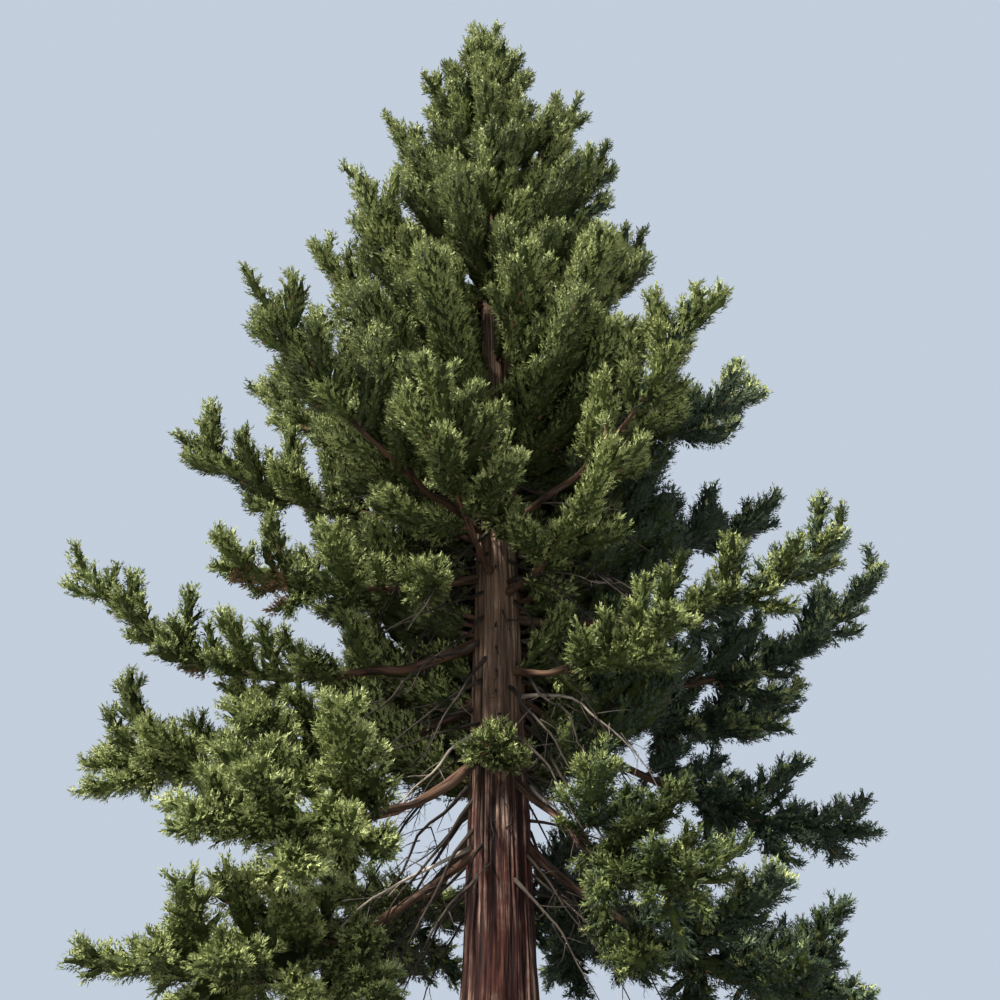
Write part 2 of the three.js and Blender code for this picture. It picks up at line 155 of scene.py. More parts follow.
TOPS = (
    ("back_4", 17.0, 76, 8.8, 0, 3.2, 0, 3.6, 10),
    ("front_right", 11.4, 315, 6.4, -1.3, 0, 0, 2.5, 7),
    ("front_mid", 13.6, 298, 6.2, 0.1, 2.2, 0, 2.5, 7),
    ("front_tuft", 15.8, 268, 3.8, -0.2, 0.6, 0, 2.0, 6),
    ("trunk_tuft", 8.7, 264, 2.7, 0.2, 0.1, 0, 1.6, 6),
    ("left_8", 18.8, 160, 9.0, 0, 4.4, 0, 2.5, 10),
    ("upper_left", 21.6, 178, 6.1, 0.8, 5.4, 0, 2.5, 9),
    ("upper_front_left", 22.8, 212, 5.3, 0.9, 4.8, 0, 2.3, 9),
    ("upper_right", 21.8, 10, 5.2, 0.9, 5.8, 0, 2.8, 9),
    ("upper_front", 19.2, 284, 4.4, 0.8, 4.2, 0, 2.7, 9),
    ("upper_back_left", 23.0, 116, 5.4, 0.8, 4.4, 0, 3.1, 9),
    ("upper_back_right", 22.2, 58, 5.6, 0.8, 4.4, 0, 3.1, 9),
    ("top_left_1", 27.4, 178, 3.5, 0.9, 5.5, 0, 2.1, 8),
    ("top_left_2", 30.8, 210, 2.5, 0.7, 3.1, 0, 1.7, 7),
    ("top_front", 25.2, 268, 2.8, 0.8, 4.2, 0, 2.5, 8),
    ("top_right_1", 26.4, 350, 4.0, 0.8, 3.7, 0, 2.5, 8),
    ("top_right_2", 29.6, 6, 3.2, 0.8, 4.3, 0, 2.1, 8),
    ("top_back", 27.4, 92, 3.4, 0.8, 4.4, 0, 2.6, 8),
    ("leader", 33.4, 180, 0.08, 2.2, 4.2, 0, 1.6, 10),
)

# Finer growth. Lengths are shares of what they grow on unless a comment says metres.
SEED = 11
SPRAY_KEYS = ("arc", "start", "radius", "mass", "upright", "tuft")
MORE_SPRAYS = 1.6  # for each of a mass's own
MORE_LENGTH = 0.72
MORE_FROM = 0.04
MORE_TO = 0.97
TUFT_SPRAYS = 2.6  # for each of a tuft's own
SMALL_TUFTS_BELOW = 12  # metres
SMALL_TUFT = 0.74
STEM_BARE = 0.36  # share of an upright mass's stem that carries only side sprays
LOW_STEM_BARE = 0.34  # the least on stems that leave the lower bare trunk
BRANCH_TURNS = 30  # degrees, as chance has it
BRANCH_LEANS = 18
BRANCH_SHORTEST = 0.8
BRANCH_VARIES = 0.4
SPRAY_CLEAR = 0.2  # metres, from the trunk
FINGER_CLEAR = 0.1
OFF_GROUND = 0.35
OUTER = 0.6  # share along a line, for a point of its outer half

MAIN_PLUME_RADIUS = 0.6
UPRIGHT_PLUME_RADIUS = 0.76
FINGERS_PER_RADIUS = 3.0  # along each radius of a spray's length
FEWEST_FINGERS = 3
FINGERS_FROM = 0.08
FINGERS_TO = 0.88
FINGER_LEAN = 58  # degrees
FINGER_RISES = 26
FINGER_LENGTH = 1.38  # of the spray's radius
FINGER_SHORTENS = 0.3
FINGER_CURL = 0.3
FINGER_RADIUS = 0.3
OWN_TONE = 0.4  # share of its tone that a finger doesn't have from its spray

# Short plumes inside the crown, in metres: round the trunk, and behind it lower down.
FILL_PLUMES = 170
FILL_FROM = 17.0
FILL_TO = TREE_HEIGHT - 2.4
FILL_CROWDS = 0.9  # under 1 puts more of them high up
FILL_SHADE_TONE = 0.4  # they are darker: painted shade, as they stand inside the crown and behind the trunk
BACK_FILL_PLUMES = 130
BACK_FILL_FROM = 7.9
BACK_FILL_TO = 18.0
BACK_FILL_WIDEST = 5.6  # the crown's reach there
BACK_ARC = 200  # degrees
BACK_ARC_FROM = -10
CROWN_TOP = 38.6
CROWN_SLOPE = 0.3
FILL_LEAST = 0.5
FILL_REACH = 0.45  # of the crown's reach, on top of the least
FILL_REACH_VARIES = 0.4
FILL_INSIDE = 0.4  # of the trunk's radius
FILL_MIDDLE = 0.62
FILL_MIDDLE_RISES = 0.12
FILL_RISES = 0.75
FILL_BARE = 0.1
FILL_RADIUS = 0.16
FILL_RADIUS_GROWS = 0.13
FILL_MASSES_APART = 3  # between the mass numbers that they get their tones by

# What the photograph shows free of foliage.
BESIDE_TRUNK = 0.7  # metres each side of the bare trunk that only boughs and a tuft's sprays pass
FINGERS_BESIDE = 0.4 * BESIDE_TRUNK
SHOWN_BOUGHS = ("left_6", "right_6")
SHOWN_FROM = 0.12  # share of their length
SHOWN_TO = 0.62
SHOWN_POINTS = 40
BESIDE_BOUGH = 0.4  # metres

# A plume's outline.
PLUME_FOOT = 1.1  # metres over which it widens, at most
PLUME_FOOT_SHARE = 0.45
PLUME_FOOT_WIDTH = 0.3
PLUME_FLAT = 0.6  # height over width where it isn't upright
LUMPS_ROUND = 6
LUMP_LENGTH = 0.35  # metres
LUMPS_APART = 13
LUMP_LOW = 0.66
LUMP_RELIEF = 0.68

# Inside the plumes.
MAIN_SIDES = 8
MAIN_RING = 0.26  # metres between the rings of a main plume's inner mass
FEWEST_RINGS = 4
FINGER_SIDES = 4
FINGER_RINGS = 3
INNER_MASS = 0.62
INNER_LOW = 0.75
INNER_VARIES = 0.5
INNER_FROM = 0.04
INNER_SPAN = 0.92
INNER_TIP = 0.3
THINNEST_INNER = 0.02  # metres

# A grid that tells which places are inside foliage, where nothing shows.
CELL = 0.15  # metres
CORE = 0.5  # share of a plume's radius that fills its cells
CORE_STEP = 0.13  # metres
FEWEST_STEPS = 4
CORE_TURNS = 8
CORE_DEPTHS = 3
GRID_MARGIN = 6  # cells
CROWD_CELLS = 9  # along the side of the cube that is counted round a cell
DEEP = 0.46  # share of full cells in it

# Sprigs of scale-leaved cords.
SPRIG_TRIES = 760000
SPRIGS = 205000
SPRIG_CORDS = 5
SPRIG_LENGTH = 0.165  # metres, at the ground
SPRIG_GROWS = 0.44  # of that more at the tree's top
SPRIG_SHORTEST = 0.75
SPRIG_VARIES = 0.5
SPRIG_FOOT = 0.6  # of the plume's radius
SPRIG_FOOT_VARIES = 0.38
SPRIG_LEAN = 38  # degrees off the plume's heading
SPRIG_RISES = 14
SPRIG_LIFT = 0.12
SPRIG_LOOSE = 0.4
SPRIG_LOOKS_OUT = 0.12  # metres
BARK_CLEAR = 0.06
FEWEST_PLACES = 3  # on one plume
PLACE_TURNS = 0.5  # radians
CORD_WIDTH = 0.46
CORD_OPENS = 28  # degrees
CORD_OPENS_MORE = 22
LAST_CORD_OPENS = 0.1  # radians
CORDS_TO = 0.7
CORD_LENGTH = 0.62
CORD_SHORTENS = 0.28
CORD_TWISTS = 0.55
LARGEST_PIECE = 190000  # triangles

# Greens, from shaded to lit, and how they are dealt out. Part of the dealing is painted light: tips and upper
# sides get lighter greens as painted sunlight, and the crown's own shade and the cool pair give painted
# shade. Plume, mass and chance vary the tone at random.
GREENS = {
    "light": ((0.19, 0.225, 0.08), (0.36, 0.4, 0.165)),
    "olive": ((0.14, 0.168, 0.052), (0.265, 0.3, 0.105)),
    "middle": ((0.076, 0.1, 0.032), (0.16, 0.19, 0.064)),
    "deep": ((0.028, 0.04, 0.014), (0.065, 0.082, 0.026)),
    # This green and the shade green below it are painted shade, lit by the sky, used mostly on the crown's
    # right and back.
    "cool_shade": ((0.054, 0.084, 0.045), (0.125, 0.165, 0.085)),
    "shade": ((0.02, 0.035, 0.023), (0.05, 0.074, 0.046)),
    "dry": ((0.09, 0.055, 0.028), (0.19, 0.12, 0.065)),
}
# Darker greens for the inner masses: painted shade, for the sprigs deep in a plume that the outer ones shade.
INNER_SHADE_GREENS = {
    "middle": ((0.026, 0.036, 0.011), (0.07, 0.09, 0.026)),
    "deep": ((0.016, 0.022, 0.007), (0.044, 0.058, 0.017)),
    "shade": ((0.012, 0.02, 0.012), (0.034, 0.05, 0.03)),
}
INNER_MIDDLE_OVER = 0.45
# Painted sunlight: sprigs towards a plume's tip and those that face up get lighter greens.
ALONG_PAINTS_LIGHT = 0.4
UP_PAINTS_LIGHT = 0.3
PLUME_VARIES = 0.42
MASS_VARIES = 0.2
SPRIG_TONE_VARIES = 0.16
DEEP_TO = 0.24  # shares of all sprigs, from the darkest up
MIDDLE_TO = 0.5
OLIVE_TO = 0.82
COOL_SHADE_SIDE = np.array([0.07, 0.1, 0.0])  # how fast the greens get cooler, for each metre to the right and the back: painted sky-lit shade
COOL_BY_SHADE = 0.4
COOL_BY_PLUME = 0.7
COOL_BY_CHANCE = 0.3
COOL_OVER = 0.3
SHADED_LOSES = 0.36  # what foliage in the crown's own shade loses in tone
INNER_SHADE = 0.85
SHADE_LOW = (12, 7)  # metres, from where the shade starts to where it is full: down the tree,
SHADE_INNER = (22, 19)  # down its middle,
SHADE_REACH = (8, 6)  # inwards from the right,
SHADE_SIDE = (0, 2.5)  # outwards from the trunk,
SHADE_BACK = (-2.5, -0.5)  # and to the back
DRY_SPOTS = ((-6.2, -3.0, 12.7), (-8.6, -0.6, 10.9), (7.5, 0.5, 6.0))
DRY_RADIUS = 0.8
DRY_PLUMES = 0.75
DRY_UNDER = 0.05
FACES_DOWN = -0.3
INNER_HALF = 0.5

# Bark in relief, in metres.
BARK_DEPTH = 0.1
BARK_CREST = 0.8  # the ridge height that stands at the trunk's own radius
THIN_BARK_UNDER = 0.8
BARK_SWAY = 0.02  # of a turn
BROAD_RIDGES = 0.5
NARROW_RIDGES = 0.35
CROSS_BREAKS = 0.15
TRUNK_SIDES = 384
TRUNK_RINGS = 200
RINGS_CROWD_LOW = 1.25  # over 1 puts more of them low down
TRUNK_CAP = 0.05
FLAT_BARK = 0.5  # ridge height at a limb's two ends
LIMB_RIDGES = 5
LIMB_CREST = 0.55
LIMB_CAP = 0.8  # of the end's radius
RIDGE_STRETCH = 0.9
RIDGE_WANDER = 1.4
PUSH_ROUND = 7
FINE_PUSH_ROUND = 19
FINE_PUSH_TALL = 0.4
FINE_PUSH = 0.6
KNOT_SHARE = 0.4
KNOT_LENGTH = 0.45
COLLAR_LENGTH = 0.5
BEND_EVERY = 1.1
GRAIN_RADIUS = 0.3
BENDS_APART, RIDGES_APART, KNOTS_APART, GRAINS_APART = 31.7, 50, 31, 7

# Boughs' ends, stems and twigs inside the foliage.
BOUGH_TO = 0.97
BOUGH_END = 0.14  # of its radius at the trunk
STEM_TO = 0.94
STEM_RADIUS = 0.018  # metres, plus a share of the plume's
STEM_SHARE = 0.075
STEM_END = 0.3
TWIGS = 9000
LIVE_TWIG_LEAN = 58
LIVE_TWIG_RISES = 25
LIVE_TWIG_REACH = 1.15  # of the plume's radius
LIVE_TWIG_RADIUS = 0.008
LIVE_TWIG_SHARE = 0.02

# Dead limbs, in metres.
DEAD_LIMBS = 130
DEAD_FROM = 5.6
DEAD_TO = 17.5
DEAD_LOWEST = 2.5
DEAD_TURNS = 40  # degrees
DEAD_DROP = 0.2  # for each metre out
DEAD_DROP_VARIES = 1.5
DEAD_MIDDLE_DROPS = 0.34
DEAD_REACH = 2.4
DEAD_REACH_VARIES = 3.4
DEAD_INSIDE = 0.8  # of the trunk's radius
DEAD_UPRIGHT = 0.3
DEAD_RADIUS = 0.014
DEAD_THICKENS = 0.007  # for each metre of length
DEAD_END = 0.22
IN_FRONT = -0.9  # a limb that faces -Y more than this is a stub
STUB = 0.25
FEWEST_TWIGS = 3
TWIGS_PER_METRE = 1.8
TWIGS_FROM = 0.25
TWIGS_TO = 0.96
TWIG_LEAN = 52
TWIG_RISES = 20
TWIG_LENGTH = 0.22
TWIG_SHORTENS = 0.45
TWIG_CURL = -0.12
TWIG_RADIUS = 0.4
TWIG_THINS = 0.5
TWIG_END = 0.25
TIPS_EACH = 5
TIPS_FROM = 0.15
TIPS_TO = 0.95
TIP_LEAN = 50
TIP_LENGTH = 0.4
TIP_SHORTENS = 0.4
TIP_CURL = -0.1
TIP_RADIUS = 0.35

# The limbs that have lost their bark: one low on the left, a crooked one on the right, and two short ones.
PALE_LIMBS = np.array((
    ((-0.75, -0.45, 6.6), (-2.9, -1.3, 5.7), (-4.9, -2.0, 3.3)),
    ((0.6, -0.4, 10.6), (2.9, -1.7, 10.4), (3.95, -1.75, 7.8)),
    ((-0.7, -0.3, 9.6), (-1.9, -1.2, 8.5), (-3.0, -1.6, 6.4)),
    ((0.8, -0.3, 8.2), (1.9, -0.9, 7.0), (2.7, -1.2, 5.2)),
))

# Barks. Stops are ridge heights with their colours, and distance is the bump's depth in metres. The pale
# crests are weathering, and on the trunk they are painted sunlight as well.
BARKS = {
    "trunk_bark": {
        "stops": ((0.1, (0.0025, 0.001, 0.001)), (0.45, (0.017, 0.005, 0.004)), (0.7, (0.055, 0.017, 0.012)),
                  (0.95, (0.15, 0.06, 0.043))),
        "size": 9.0, "stretch": 0.07, "weathered_and_sunlit": (0.55, 0.42, 0.33), "weather_and_sun_share": 1.0,
        # The paler colour up the trunk is painted light on the stretch that the crown shades.
        "bump": 0.7, "distance": 0.03, "painted_light_up": ((0.24, 0.165, 0.11), 7.5, 11.5, 0.75)},
    "bough_bark": {
        "stops": ((0.1, (0.005, 0.0027, 0.0018)), (0.5, (0.027, 0.0135, 0.0085)),
                  (0.9, (0.09, 0.048, 0.028))),
        "size": 16.0, "stretch": 0.15, "weathered_and_sunlit": (0.13, 0.1, 0.08), "weather_and_sun_share": 0.5,
        "bump": 0.6, "distance": 0.015},
    "twig_bark": {
        "stops": ((0.1, (0.02, 0.01, 0.007)), (0.5, (0.06, 0.03, 0.019)), (0.9, (0.13, 0.07, 0.045))),
        "size": 22.0, "stretch": 0.2, "weathered_and_sunlit": (0.16, 0.12, 0.1), "weather_and_sun_share": 0.4,
        "bump": 0.4, "distance": 0.008},
    "dead_wood": {
        "stops": ((0.1, (0.006, 0.0045, 0.0035)), (0.5, (0.015, 0.011, 0.0085)),
                  (0.9, (0.042, 0.032, 0.025))),
        "size": 20.0, "stretch": 0.18, "weathered_and_sunlit": (0.12, 0.1, 0.08), "weather_and_sun_share": 0.5,
        "bump": 0.5, "distance": 0.01},
    "pale_wood": {
        "stops": ((0.1, (0.12, 0.09, 0.07)), (0.5, (0.28, 0.23, 0.19)), (0.9, (0.45, 0.39, 0.33))),
        "size": 20.0, "stretch": 0.18, "weathered_and_sunlit": (0.5, 0.45, 0.4), "weather_and_sun_share": 0.6,
        "bump": 0.5, "distance": 0.01},
}

# The floor and the light.
FLOOR_HALF = 400
FLOOR_COLOUR = (0.34, 0.34, 0.33)
FLOOR_ROUGHNESS = 0.9
SKY_COLOUR = (0.76, 0.86, 1.0)
SKY_STRENGTH = 0.72
SUN_FROM = (-0.64, -0.5, 0.84)
SUN_AT = (-40, -30, 60)
SUN_ENERGY = 11.0
SUN_WIDTH = 6  # degrees
SUN_COLOUR = (1.0, 0.95, 0.86)
VIEW_TO = 2000


def unit(way):
    """The same direction with length one."""
    return way / np.maximum(np.linalg.norm(way, axis=-1, keepdims=True), 1e-9)


def chance(seed, step):
    """The same number from 0 to 1 for the same pair: what is left of a large sine past its whole part."""
    s = np.sin(seed * 127.1 + step * 311.7) * 43758.5453
    return s - np.floor(s)


def trunk_axis(z):
    """Middle of the trunk at a height: the lean times the square of the height's share, sideways."""
    z = np.asarray(z, float)
    return np.stack([LEAN * (z / TREE_HEIGHT) ** 2, np.zeros_like(z), z], -1)


def trunk_radius(z):
    """An even taper to nothing at the tree's height, plus a flare that falls off by e over its height."""
    z = np.asarray(z, float)
    return TRUNK_WIDTH / 2 * (1 - z / TREE_HEIGHT) + FLARE * np.exp(-z / FLARE_HEIGHT)


def arc_point(arc, t):
    """A point of an arc's three points: (1-t) squared of the first, 2t(1-t) of the second, t squared of
    the last, added up."""
    t = np.asarray(t, float)[..., None]
    return (1 - t) ** 2 * arc[..., 0, :] + 2 * t * (1 - t) * arc[..., 1, :] + t * t * arc[..., 2, :]


def arc_heading(arc, t):
    """Direction along an arc: its two legs, weighted by 1-t and by t."""
    t = np.asarray(t, float)[..., None]
    return unit((1 - t) * (arc[..., 1, :] - arc[..., 0, :]) + t * (arc[..., 2, :] - arc[..., 1, :]))


def arc_length(arc, start):
    """Length of an arc from its start share on, as the sum of short chords."""
    shares = np.asarray(start)[..., None] + (1 - np.asarray(start)[..., None]) * np.linspace(0, 1, CHORDS + 1)
    places = arc_point(arc[..., None, :, :], shares)
    return np.linalg.norm(np.diff(places, axis=-2), axis=-1).sum(-1)


def across(heading):
    """Two directions across a line: up crossed with its heading, or a level one where it climbs straight,
    and the one over both."""
    side = np.cross(UP, heading)
    steep = np.linalg.norm(side, axis=-1, keepdims=True) < STEEP
    level = np.array([1.0, 0.0, 0.0]) - heading * heading[..., :1]
    side = unit(np.where(steep, level, side))
    return side, unit(np.cross(heading, side))


def uprightness(leaves):
    """How upright a mass's sprays stand: least on low boughs, more with height, and 1 on high ones."""
    return np.clip((leaves - FLAT_BELOW) / (UPRIGHT_ABOVE - FLAT_BELOW), LEAST_UPRIGHT, 1)


def side_arc(base, heading, round_angle, lean, length, curl, upright):
    """An arc that leaves a line at base: out to a side at the round angle, hung less and lifted more than
    that, leaned off the heading, and curled upwards towards its tip. The less upright its mass is, the
    flatter it lies."""
    side, over = across(heading)
    out = side * np.cos(round_angle)[..., None] + over * np.sin(round_angle)[..., None]
    slant = np.where(out[..., 2] < 0, UNDERSIDE * out[..., 2], out[..., 2])
    out[..., 2] = slant * (FLAT + (1 - FLAT) * upright) + LIFT * upright
    out = unit(out)
    aim = unit(heading * np.cos(lean)[..., None] + out * np.sin(lean)[..., None])
    far = length[..., None]
    curled = (curl * upright * length)[..., None] * UP
    return np.stack([base, base + LINE_MIDDLE * far * aim, base + LINE_TIP * far * aim + curled], -2)


def bough_arc(row, seed):
    """The line of a bough and its stem: an arc from inside the trunk to the tip, its middle swung aside."""
    angle = math.radians(row["turn"])
    out = np.array([math.cos(angle), math.sin(angle), 0.0])
    sideways = np.array([-out[1], out[0], 0.0])
    foot = trunk_axis(row["leaves"])
    swing = (2 * chance(seed, SWING_DRAW) - 1) * SWING * row["reach"]
    inside = 0 if row["leaves"] >= TRUNK_TIP else FROM_AXIS * trunk_radius(row["leaves"])
    middle = foot + out * BELLY_SHARE * row["reach"] + sideways * swing + UP * row["belly"]
    return np.array([foot + out * inside, middle, foot + out * row["reach"] + UP * row["rise"]])


def limb_radius(row):
    """A bough's thickness at the trunk grows with its reach, but stays under a share of the trunk's."""
    return min(LIMB_RADIUS + LIMB_SLENDER * row["reach"], WITHIN_TRUNK * float(trunk_radius(row["leaves"])))


def side_spray(row, arc, seed, k, scale, turn):
    """The k-th side spray of a mass: a golden turn from the one before, leaned forward, curled up."""
    along = FIRST_SPRAY + (LAST_SPRAY - FIRST_SPRAY) * k / (row["sprays"] - 1)
    t = row["bare"] + (1 - row["bare"]) * along
    round_angle = math.radians(GOLDEN_TURN * k + 360 * chance(seed, TURN_DRAW) + turn)
    lean = math.radians(SPRAY_LEAN - SPRAY_RISES * along + LEAN_VARIES * (chance(seed, LEAN_DRAW + k) - 0.5))
    varied = SHORTEST + LENGTH_VARIES * chance(seed, LENGTH_DRAW + k)
    length = scale * row["spread"] * (1 - SHORTENS * along) * varied
    line = side_arc(arc_point(arc, t), arc_heading(arc, t), np.asarray(round_angle), np.asarray(lean),
                    np.asarray(length), CURL, uprightness(row["leaves"]))
    return {"arc": line, "start": 0.0, "radius": SIDE_SPRAY_RADIUS * length}


def end_spray(row, arc, scale):
    """The spray along the stem itself, which is the mass's core."""
    start = row["bare"] + (1 - row["bare"]) * END_SPRAY_FROM
    return {"arc": arc, "start": start, "radius": scale * END_SPRAY_RADIUS * row["spread"]}


def spray_balls(spray):
    """The space of a spray, told by balls along it that are smaller near its two ends."""
    share = (np.arange(BALLS) + 0.5) / BALLS
    width = np.minimum(1, np.minimum(FOOT_WIDTH + WIDENS * share, TIP_WIDTH + WIDENS * (1 - share)))
    places = arc_point(spray["arc"], spray["start"] + (1 - spray["start"]) * share)
    return places, spray["radius"] * TOOTH_OUT * width


def tufts(rows):
    """Which masses are short tufts on the trunk."""
    return np.array([0 < row["reach"] < TUFT_REACH and row["leaves"] < TUFTS_BELOW for row in rows])


def before_trunk(at, margin):
    """Whether places hide the trunk where it is bare: the line from the eye through them, drawn on to the
    plane of the trunk's axis, passes within its radius and a margin there."""
    onward = EYE_AWAY / (EYE_AWAY + at[:, 1])
    height = EYE_HEIGHT + (at[:, 2] - EYE_HEIGHT) * onward
    beside = np.abs(at[:, 0] * onward - trunk_axis(height)[:, 0]) - trunk_radius(height)
    bare = np.any([(height > low) & (height < high) for low, high in BARE_IN_FRONT], axis=0)
    return (at[:, 1] < 0) & bare & (beside < margin)


def grow(rows):
    """Places every spray in its mass, as the solids do: each is turned or gets shorter until its balls are
    clear of the ground, of the trunk, and of everything that isn't its own mass's, and none but a tuft's
    hides bare trunk, or else it is left out."""
    room = len(rows) * (LIMB_BALLS + MOST_SPRAYS * BALLS)
    places, radii, owners = np.full((room, 3), 1e6), np.zeros(room), np.full(room, -1)
    used = 0

    def take(at, radius, owner):
        """Keeps balls as taken space."""
        nonlocal used
        places[used:used + len(at)] = at
        radii[used:used + len(at)] = radius
        owners[used:used + len(at)] = owner
        used += len(at)

    def fits(at, radius, owner):
        """Whether balls are clear of the ground, the trunk and the space that others took."""
        if (at[:, 2] - radius < CLEAR).any():
            return False
        axis = trunk_axis(at[:, 2])
        off_axis = np.hypot(at[:, 0] - axis[:, 0], at[:, 1])
        beside = at[:, 2] < TRUNK_TIP + radius
        if (beside & (off_axis < trunk_radius(at[:, 2]) + radius + CLEAR)).any():
            return False
        others = owners[:used] != owner
        apart = np.linalg.norm(places[:used][others][None] - at[:, None], axis=-1)
        return bool((apart > radii[:used][others][None] + radius[:, None] + CLEAR).all())

    def place(spray, owner, skipped):
        """Places a spray if it fits, not counting the balls at its foot that are skipped."""
        at, radius = spray_balls(spray)
        if not fits(at[skipped:], radius[skipped:], owner):
            return False
        spray["mass"] = owner
        sprays.append(spray)
        take(at, radius, owner)
        return True

    def place_side(owner, k, scale, turn):
        """Places a side spray if it fits and hides no bare trunk, or is a tuft's."""
        spray = side_spray(rows[owner], arcs[owner], owner + 1, k, scale, turn)
        at, radius = spray_balls(spray)
        hides = before_trunk(at[JOINED_BALLS:], HIDES_FROM * radius[JOINED_BALLS:]).any()
        return (tuft[owner] or not hides) and place(spray, owner, JOINED_BALLS)

    sprays, tuft = [], tufts(rows)
    arcs = [bough_arc(row, i + 1) for i, row in enumerate(rows)]
    for i, row in enumerate(rows):
        take(arc_point(arcs[i], np.linspace(0, 1, LIMB_BALLS)), limb_radius(row), i)
    for i, row in enumerate(rows):
        skipped = 0 if row["bare"] > 0 else 1
        any(place(end_spray(row, arcs[i], scale), i, skipped) for scale in SCALES)
    for k in range(max(row["sprays"] for row in rows)):
        for i, row in enumerate(rows):
            if k < row["sprays"]:
                any(place_side(i, k, scale, turn) for scale in SCALES for turn in TURNS)
    return arcs, sprays


def gather(sprays, rows):
    """Sprays as whole arrays: their arcs, where foliage starts on them, their radii, masses and
    uprightness, and whether they are a tuft's."""
    tuft = tufts(rows)
    for spray in sprays:
        spray["upright"] = uprightness(rows[spray["mass"]]["leaves"])
        spray["tuft"] = tuft[spray["mass"]]
    return {key: np.array([spray[key] for spray in sprays]) for key in SPRAY_KEYS}


def branches(parents, counts, first, last, lean, lean_drop, length, shortens, curl, rng):
    """The same rule carried on: counts[i] arcs leave the i-th parent from its share first to its share
    last, each a golden turn from the one before, with chance in its turn, lean and length."""
    parent = np.repeat(np.arange(len(counts)), counts)
    k = np.arange(len(parent)) - np.repeat(np.cumsum(counts) - counts, counts)
    along = first + (last - first) * (k + rng.random(len(k))) / counts[parent]
    t = parents["start"][parent] + (1 - parents["start"][parent]) * along
    arc = parents["arc"][parent]
    varied = BRANCH_TURNS * (rng.random(len(k)) - 0.5)
    turn = np.radians(GOLDEN_TURN * k + 360 * parents["turn"][parent] + varied)
    lean = np.radians(lean - lean_drop * along + BRANCH_LEANS * (rng.random(len(k)) - 0.5))
    far = length[parent] * (1 - shortens * along) * (BRANCH_SHORTEST + BRANCH_VARIES * rng.random(len(k)))
    upright = parents["upright"][parent]
    arcs = side_arc(arc_point(arc, t), arc_heading(arc, t), turn, lean, far, curl, upright)
    return {
        "arc": arcs, "start": np.zeros(len(k)), "mass": parents["mass"][parent], "along": along,
        "turn": rng.random(len(k)), "parent": parent, "length": far, "upright": upright,
    }


def clear_of_trunk(at, margin):
    """Whether places are off the ground and outside the trunk by a margin."""
    axis = trunk_axis(at[:, 2])
    away = np.hypot(at[:, 0] - axis[:, 0], at[:, 1]) > trunk_radius(at[:, 2]) + margin
    return (away | (at[:, 2] > TRUNK_TIP)) & (at[:, 2] > OFF_GROUND)


def before_boughs(at):
    """Whether places hide a bough that shows: as the eye sees them, they are beside a point of its line by
    less than a margin, and nearer than it. shown_lines holds those points."""
    def seen(places):
        """Places as they stand across and over the eye, and how far in front of it."""
        return places[:, [0, 2]] - [0, EYE_HEIGHT], (EYE_AWAY + places[:, 1])[:, None]

    (here, near), (there, far) = seen(at), seen(shown_lines)
    gap = np.linalg.norm((here / near)[:, None] - there / far, axis=-1) * far[:, 0]
    return ((gap < BESIDE_BOUGH) & (near < far[:, 0])).any(1)


def stands_free(arc, margin, beside, tuft):
    """Whether an arc's tip and a point of its outer half are off the ground and out of the trunk. Unless it
    is a tuft's, neither may hide a bough that shows, or the trunk where it is bare and a margin beside it."""
    places = [arc_point(arc, OUTER), arc[:, 2]]
    return np.all([clear_of_trunk(at, margin) & (tuft | ~(before_trunk(at, beside) | before_boughs(at)))
                   for at in places], axis=0)


def bare_stems(own, arcs, shown):
    """Which stretch of its stem a mass's own plume leaves bare: the longer the more upright the mass is, and
    longer still on the boughs that show and on low stems. The top mass keeps its own, and tufts aren't low
    stems. Returns which sprays lie on such a stem."""
    on_stem = (own["start"] > 0) & (own["mass"] < len(arcs) - 1)
    own["start"][on_stem] += STEM_BARE * (own["upright"] ** 2 * (1 - own["start"]))[on_stem]
    on_shown = on_stem & shown[own["mass"]]
    own["start"][on_shown] = np.maximum(own["start"][on_shown], SHOWN_TO)
    on_low = on_stem & (arcs[own["mass"], 0, 2] < BARE_IN_FRONT[0][1]) & ~own["tuft"]
    own["start"][on_low] = np.maximum(own["start"][on_low], LOW_STEM_BARE)
    return on_stem


def shrink_low_tufts(own, arcs, rows):
    """Draws the low tufts' stems and sprays in towards their feet on the trunk. Returns the stems."""
    small = (arcs[:, 0, 2] < SMALL_TUFTS_BELOW) & tufts(rows)
    foot = arcs[:, :1].copy()
    arcs = np.where(small[:, None, None], foot + SMALL_TUFT * (arcs - foot), arcs)
    shrinks = small[own["mass"]]
    shrunk = foot[own["mass"]] + SMALL_TUFT * (own["arc"] - foot[own["mass"]])
    own["arc"][shrinks] = shrunk[shrinks]
    own["radius"][shrinks] *= SMALL_TUFT
    return arcs


def more_sprays(rows, arcs, rng):
    """Shorter sprays between those that the solids have. They leave the stems by the same rule."""
    stems = {
        "arc": arcs, "start": np.array([row["bare"] for row in rows]), "mass": np.arange(len(rows)),
        "turn": rng.random(len(rows)), "upright": uprightness(np.array([row["leaves"] for row in rows])),
    }
    tuft = tufts(rows)
    each = np.array([row["sprays"] for row in rows])
    counts = np.round(np.where(tuft, TUFT_SPRAYS, MORE_SPRAYS) * each).astype(int)
    length = MORE_LENGTH * np.array([row["spread"] for row in rows])
    more = branches(stems, counts, MORE_FROM, MORE_TO, SPRAY_LEAN, SPRAY_RISES, length, SHORTENS, CURL, rng)
    more["radius"] = SIDE_SPRAY_RADIUS * more["length"]
    more["tuft"] = tuft[more["mass"]]
    free = stands_free(more["arc"], SPRAY_CLEAR, BESIDE_TRUNK, more["tuft"])
    return {key: more[key][free] for key in SPRAY_KEYS}


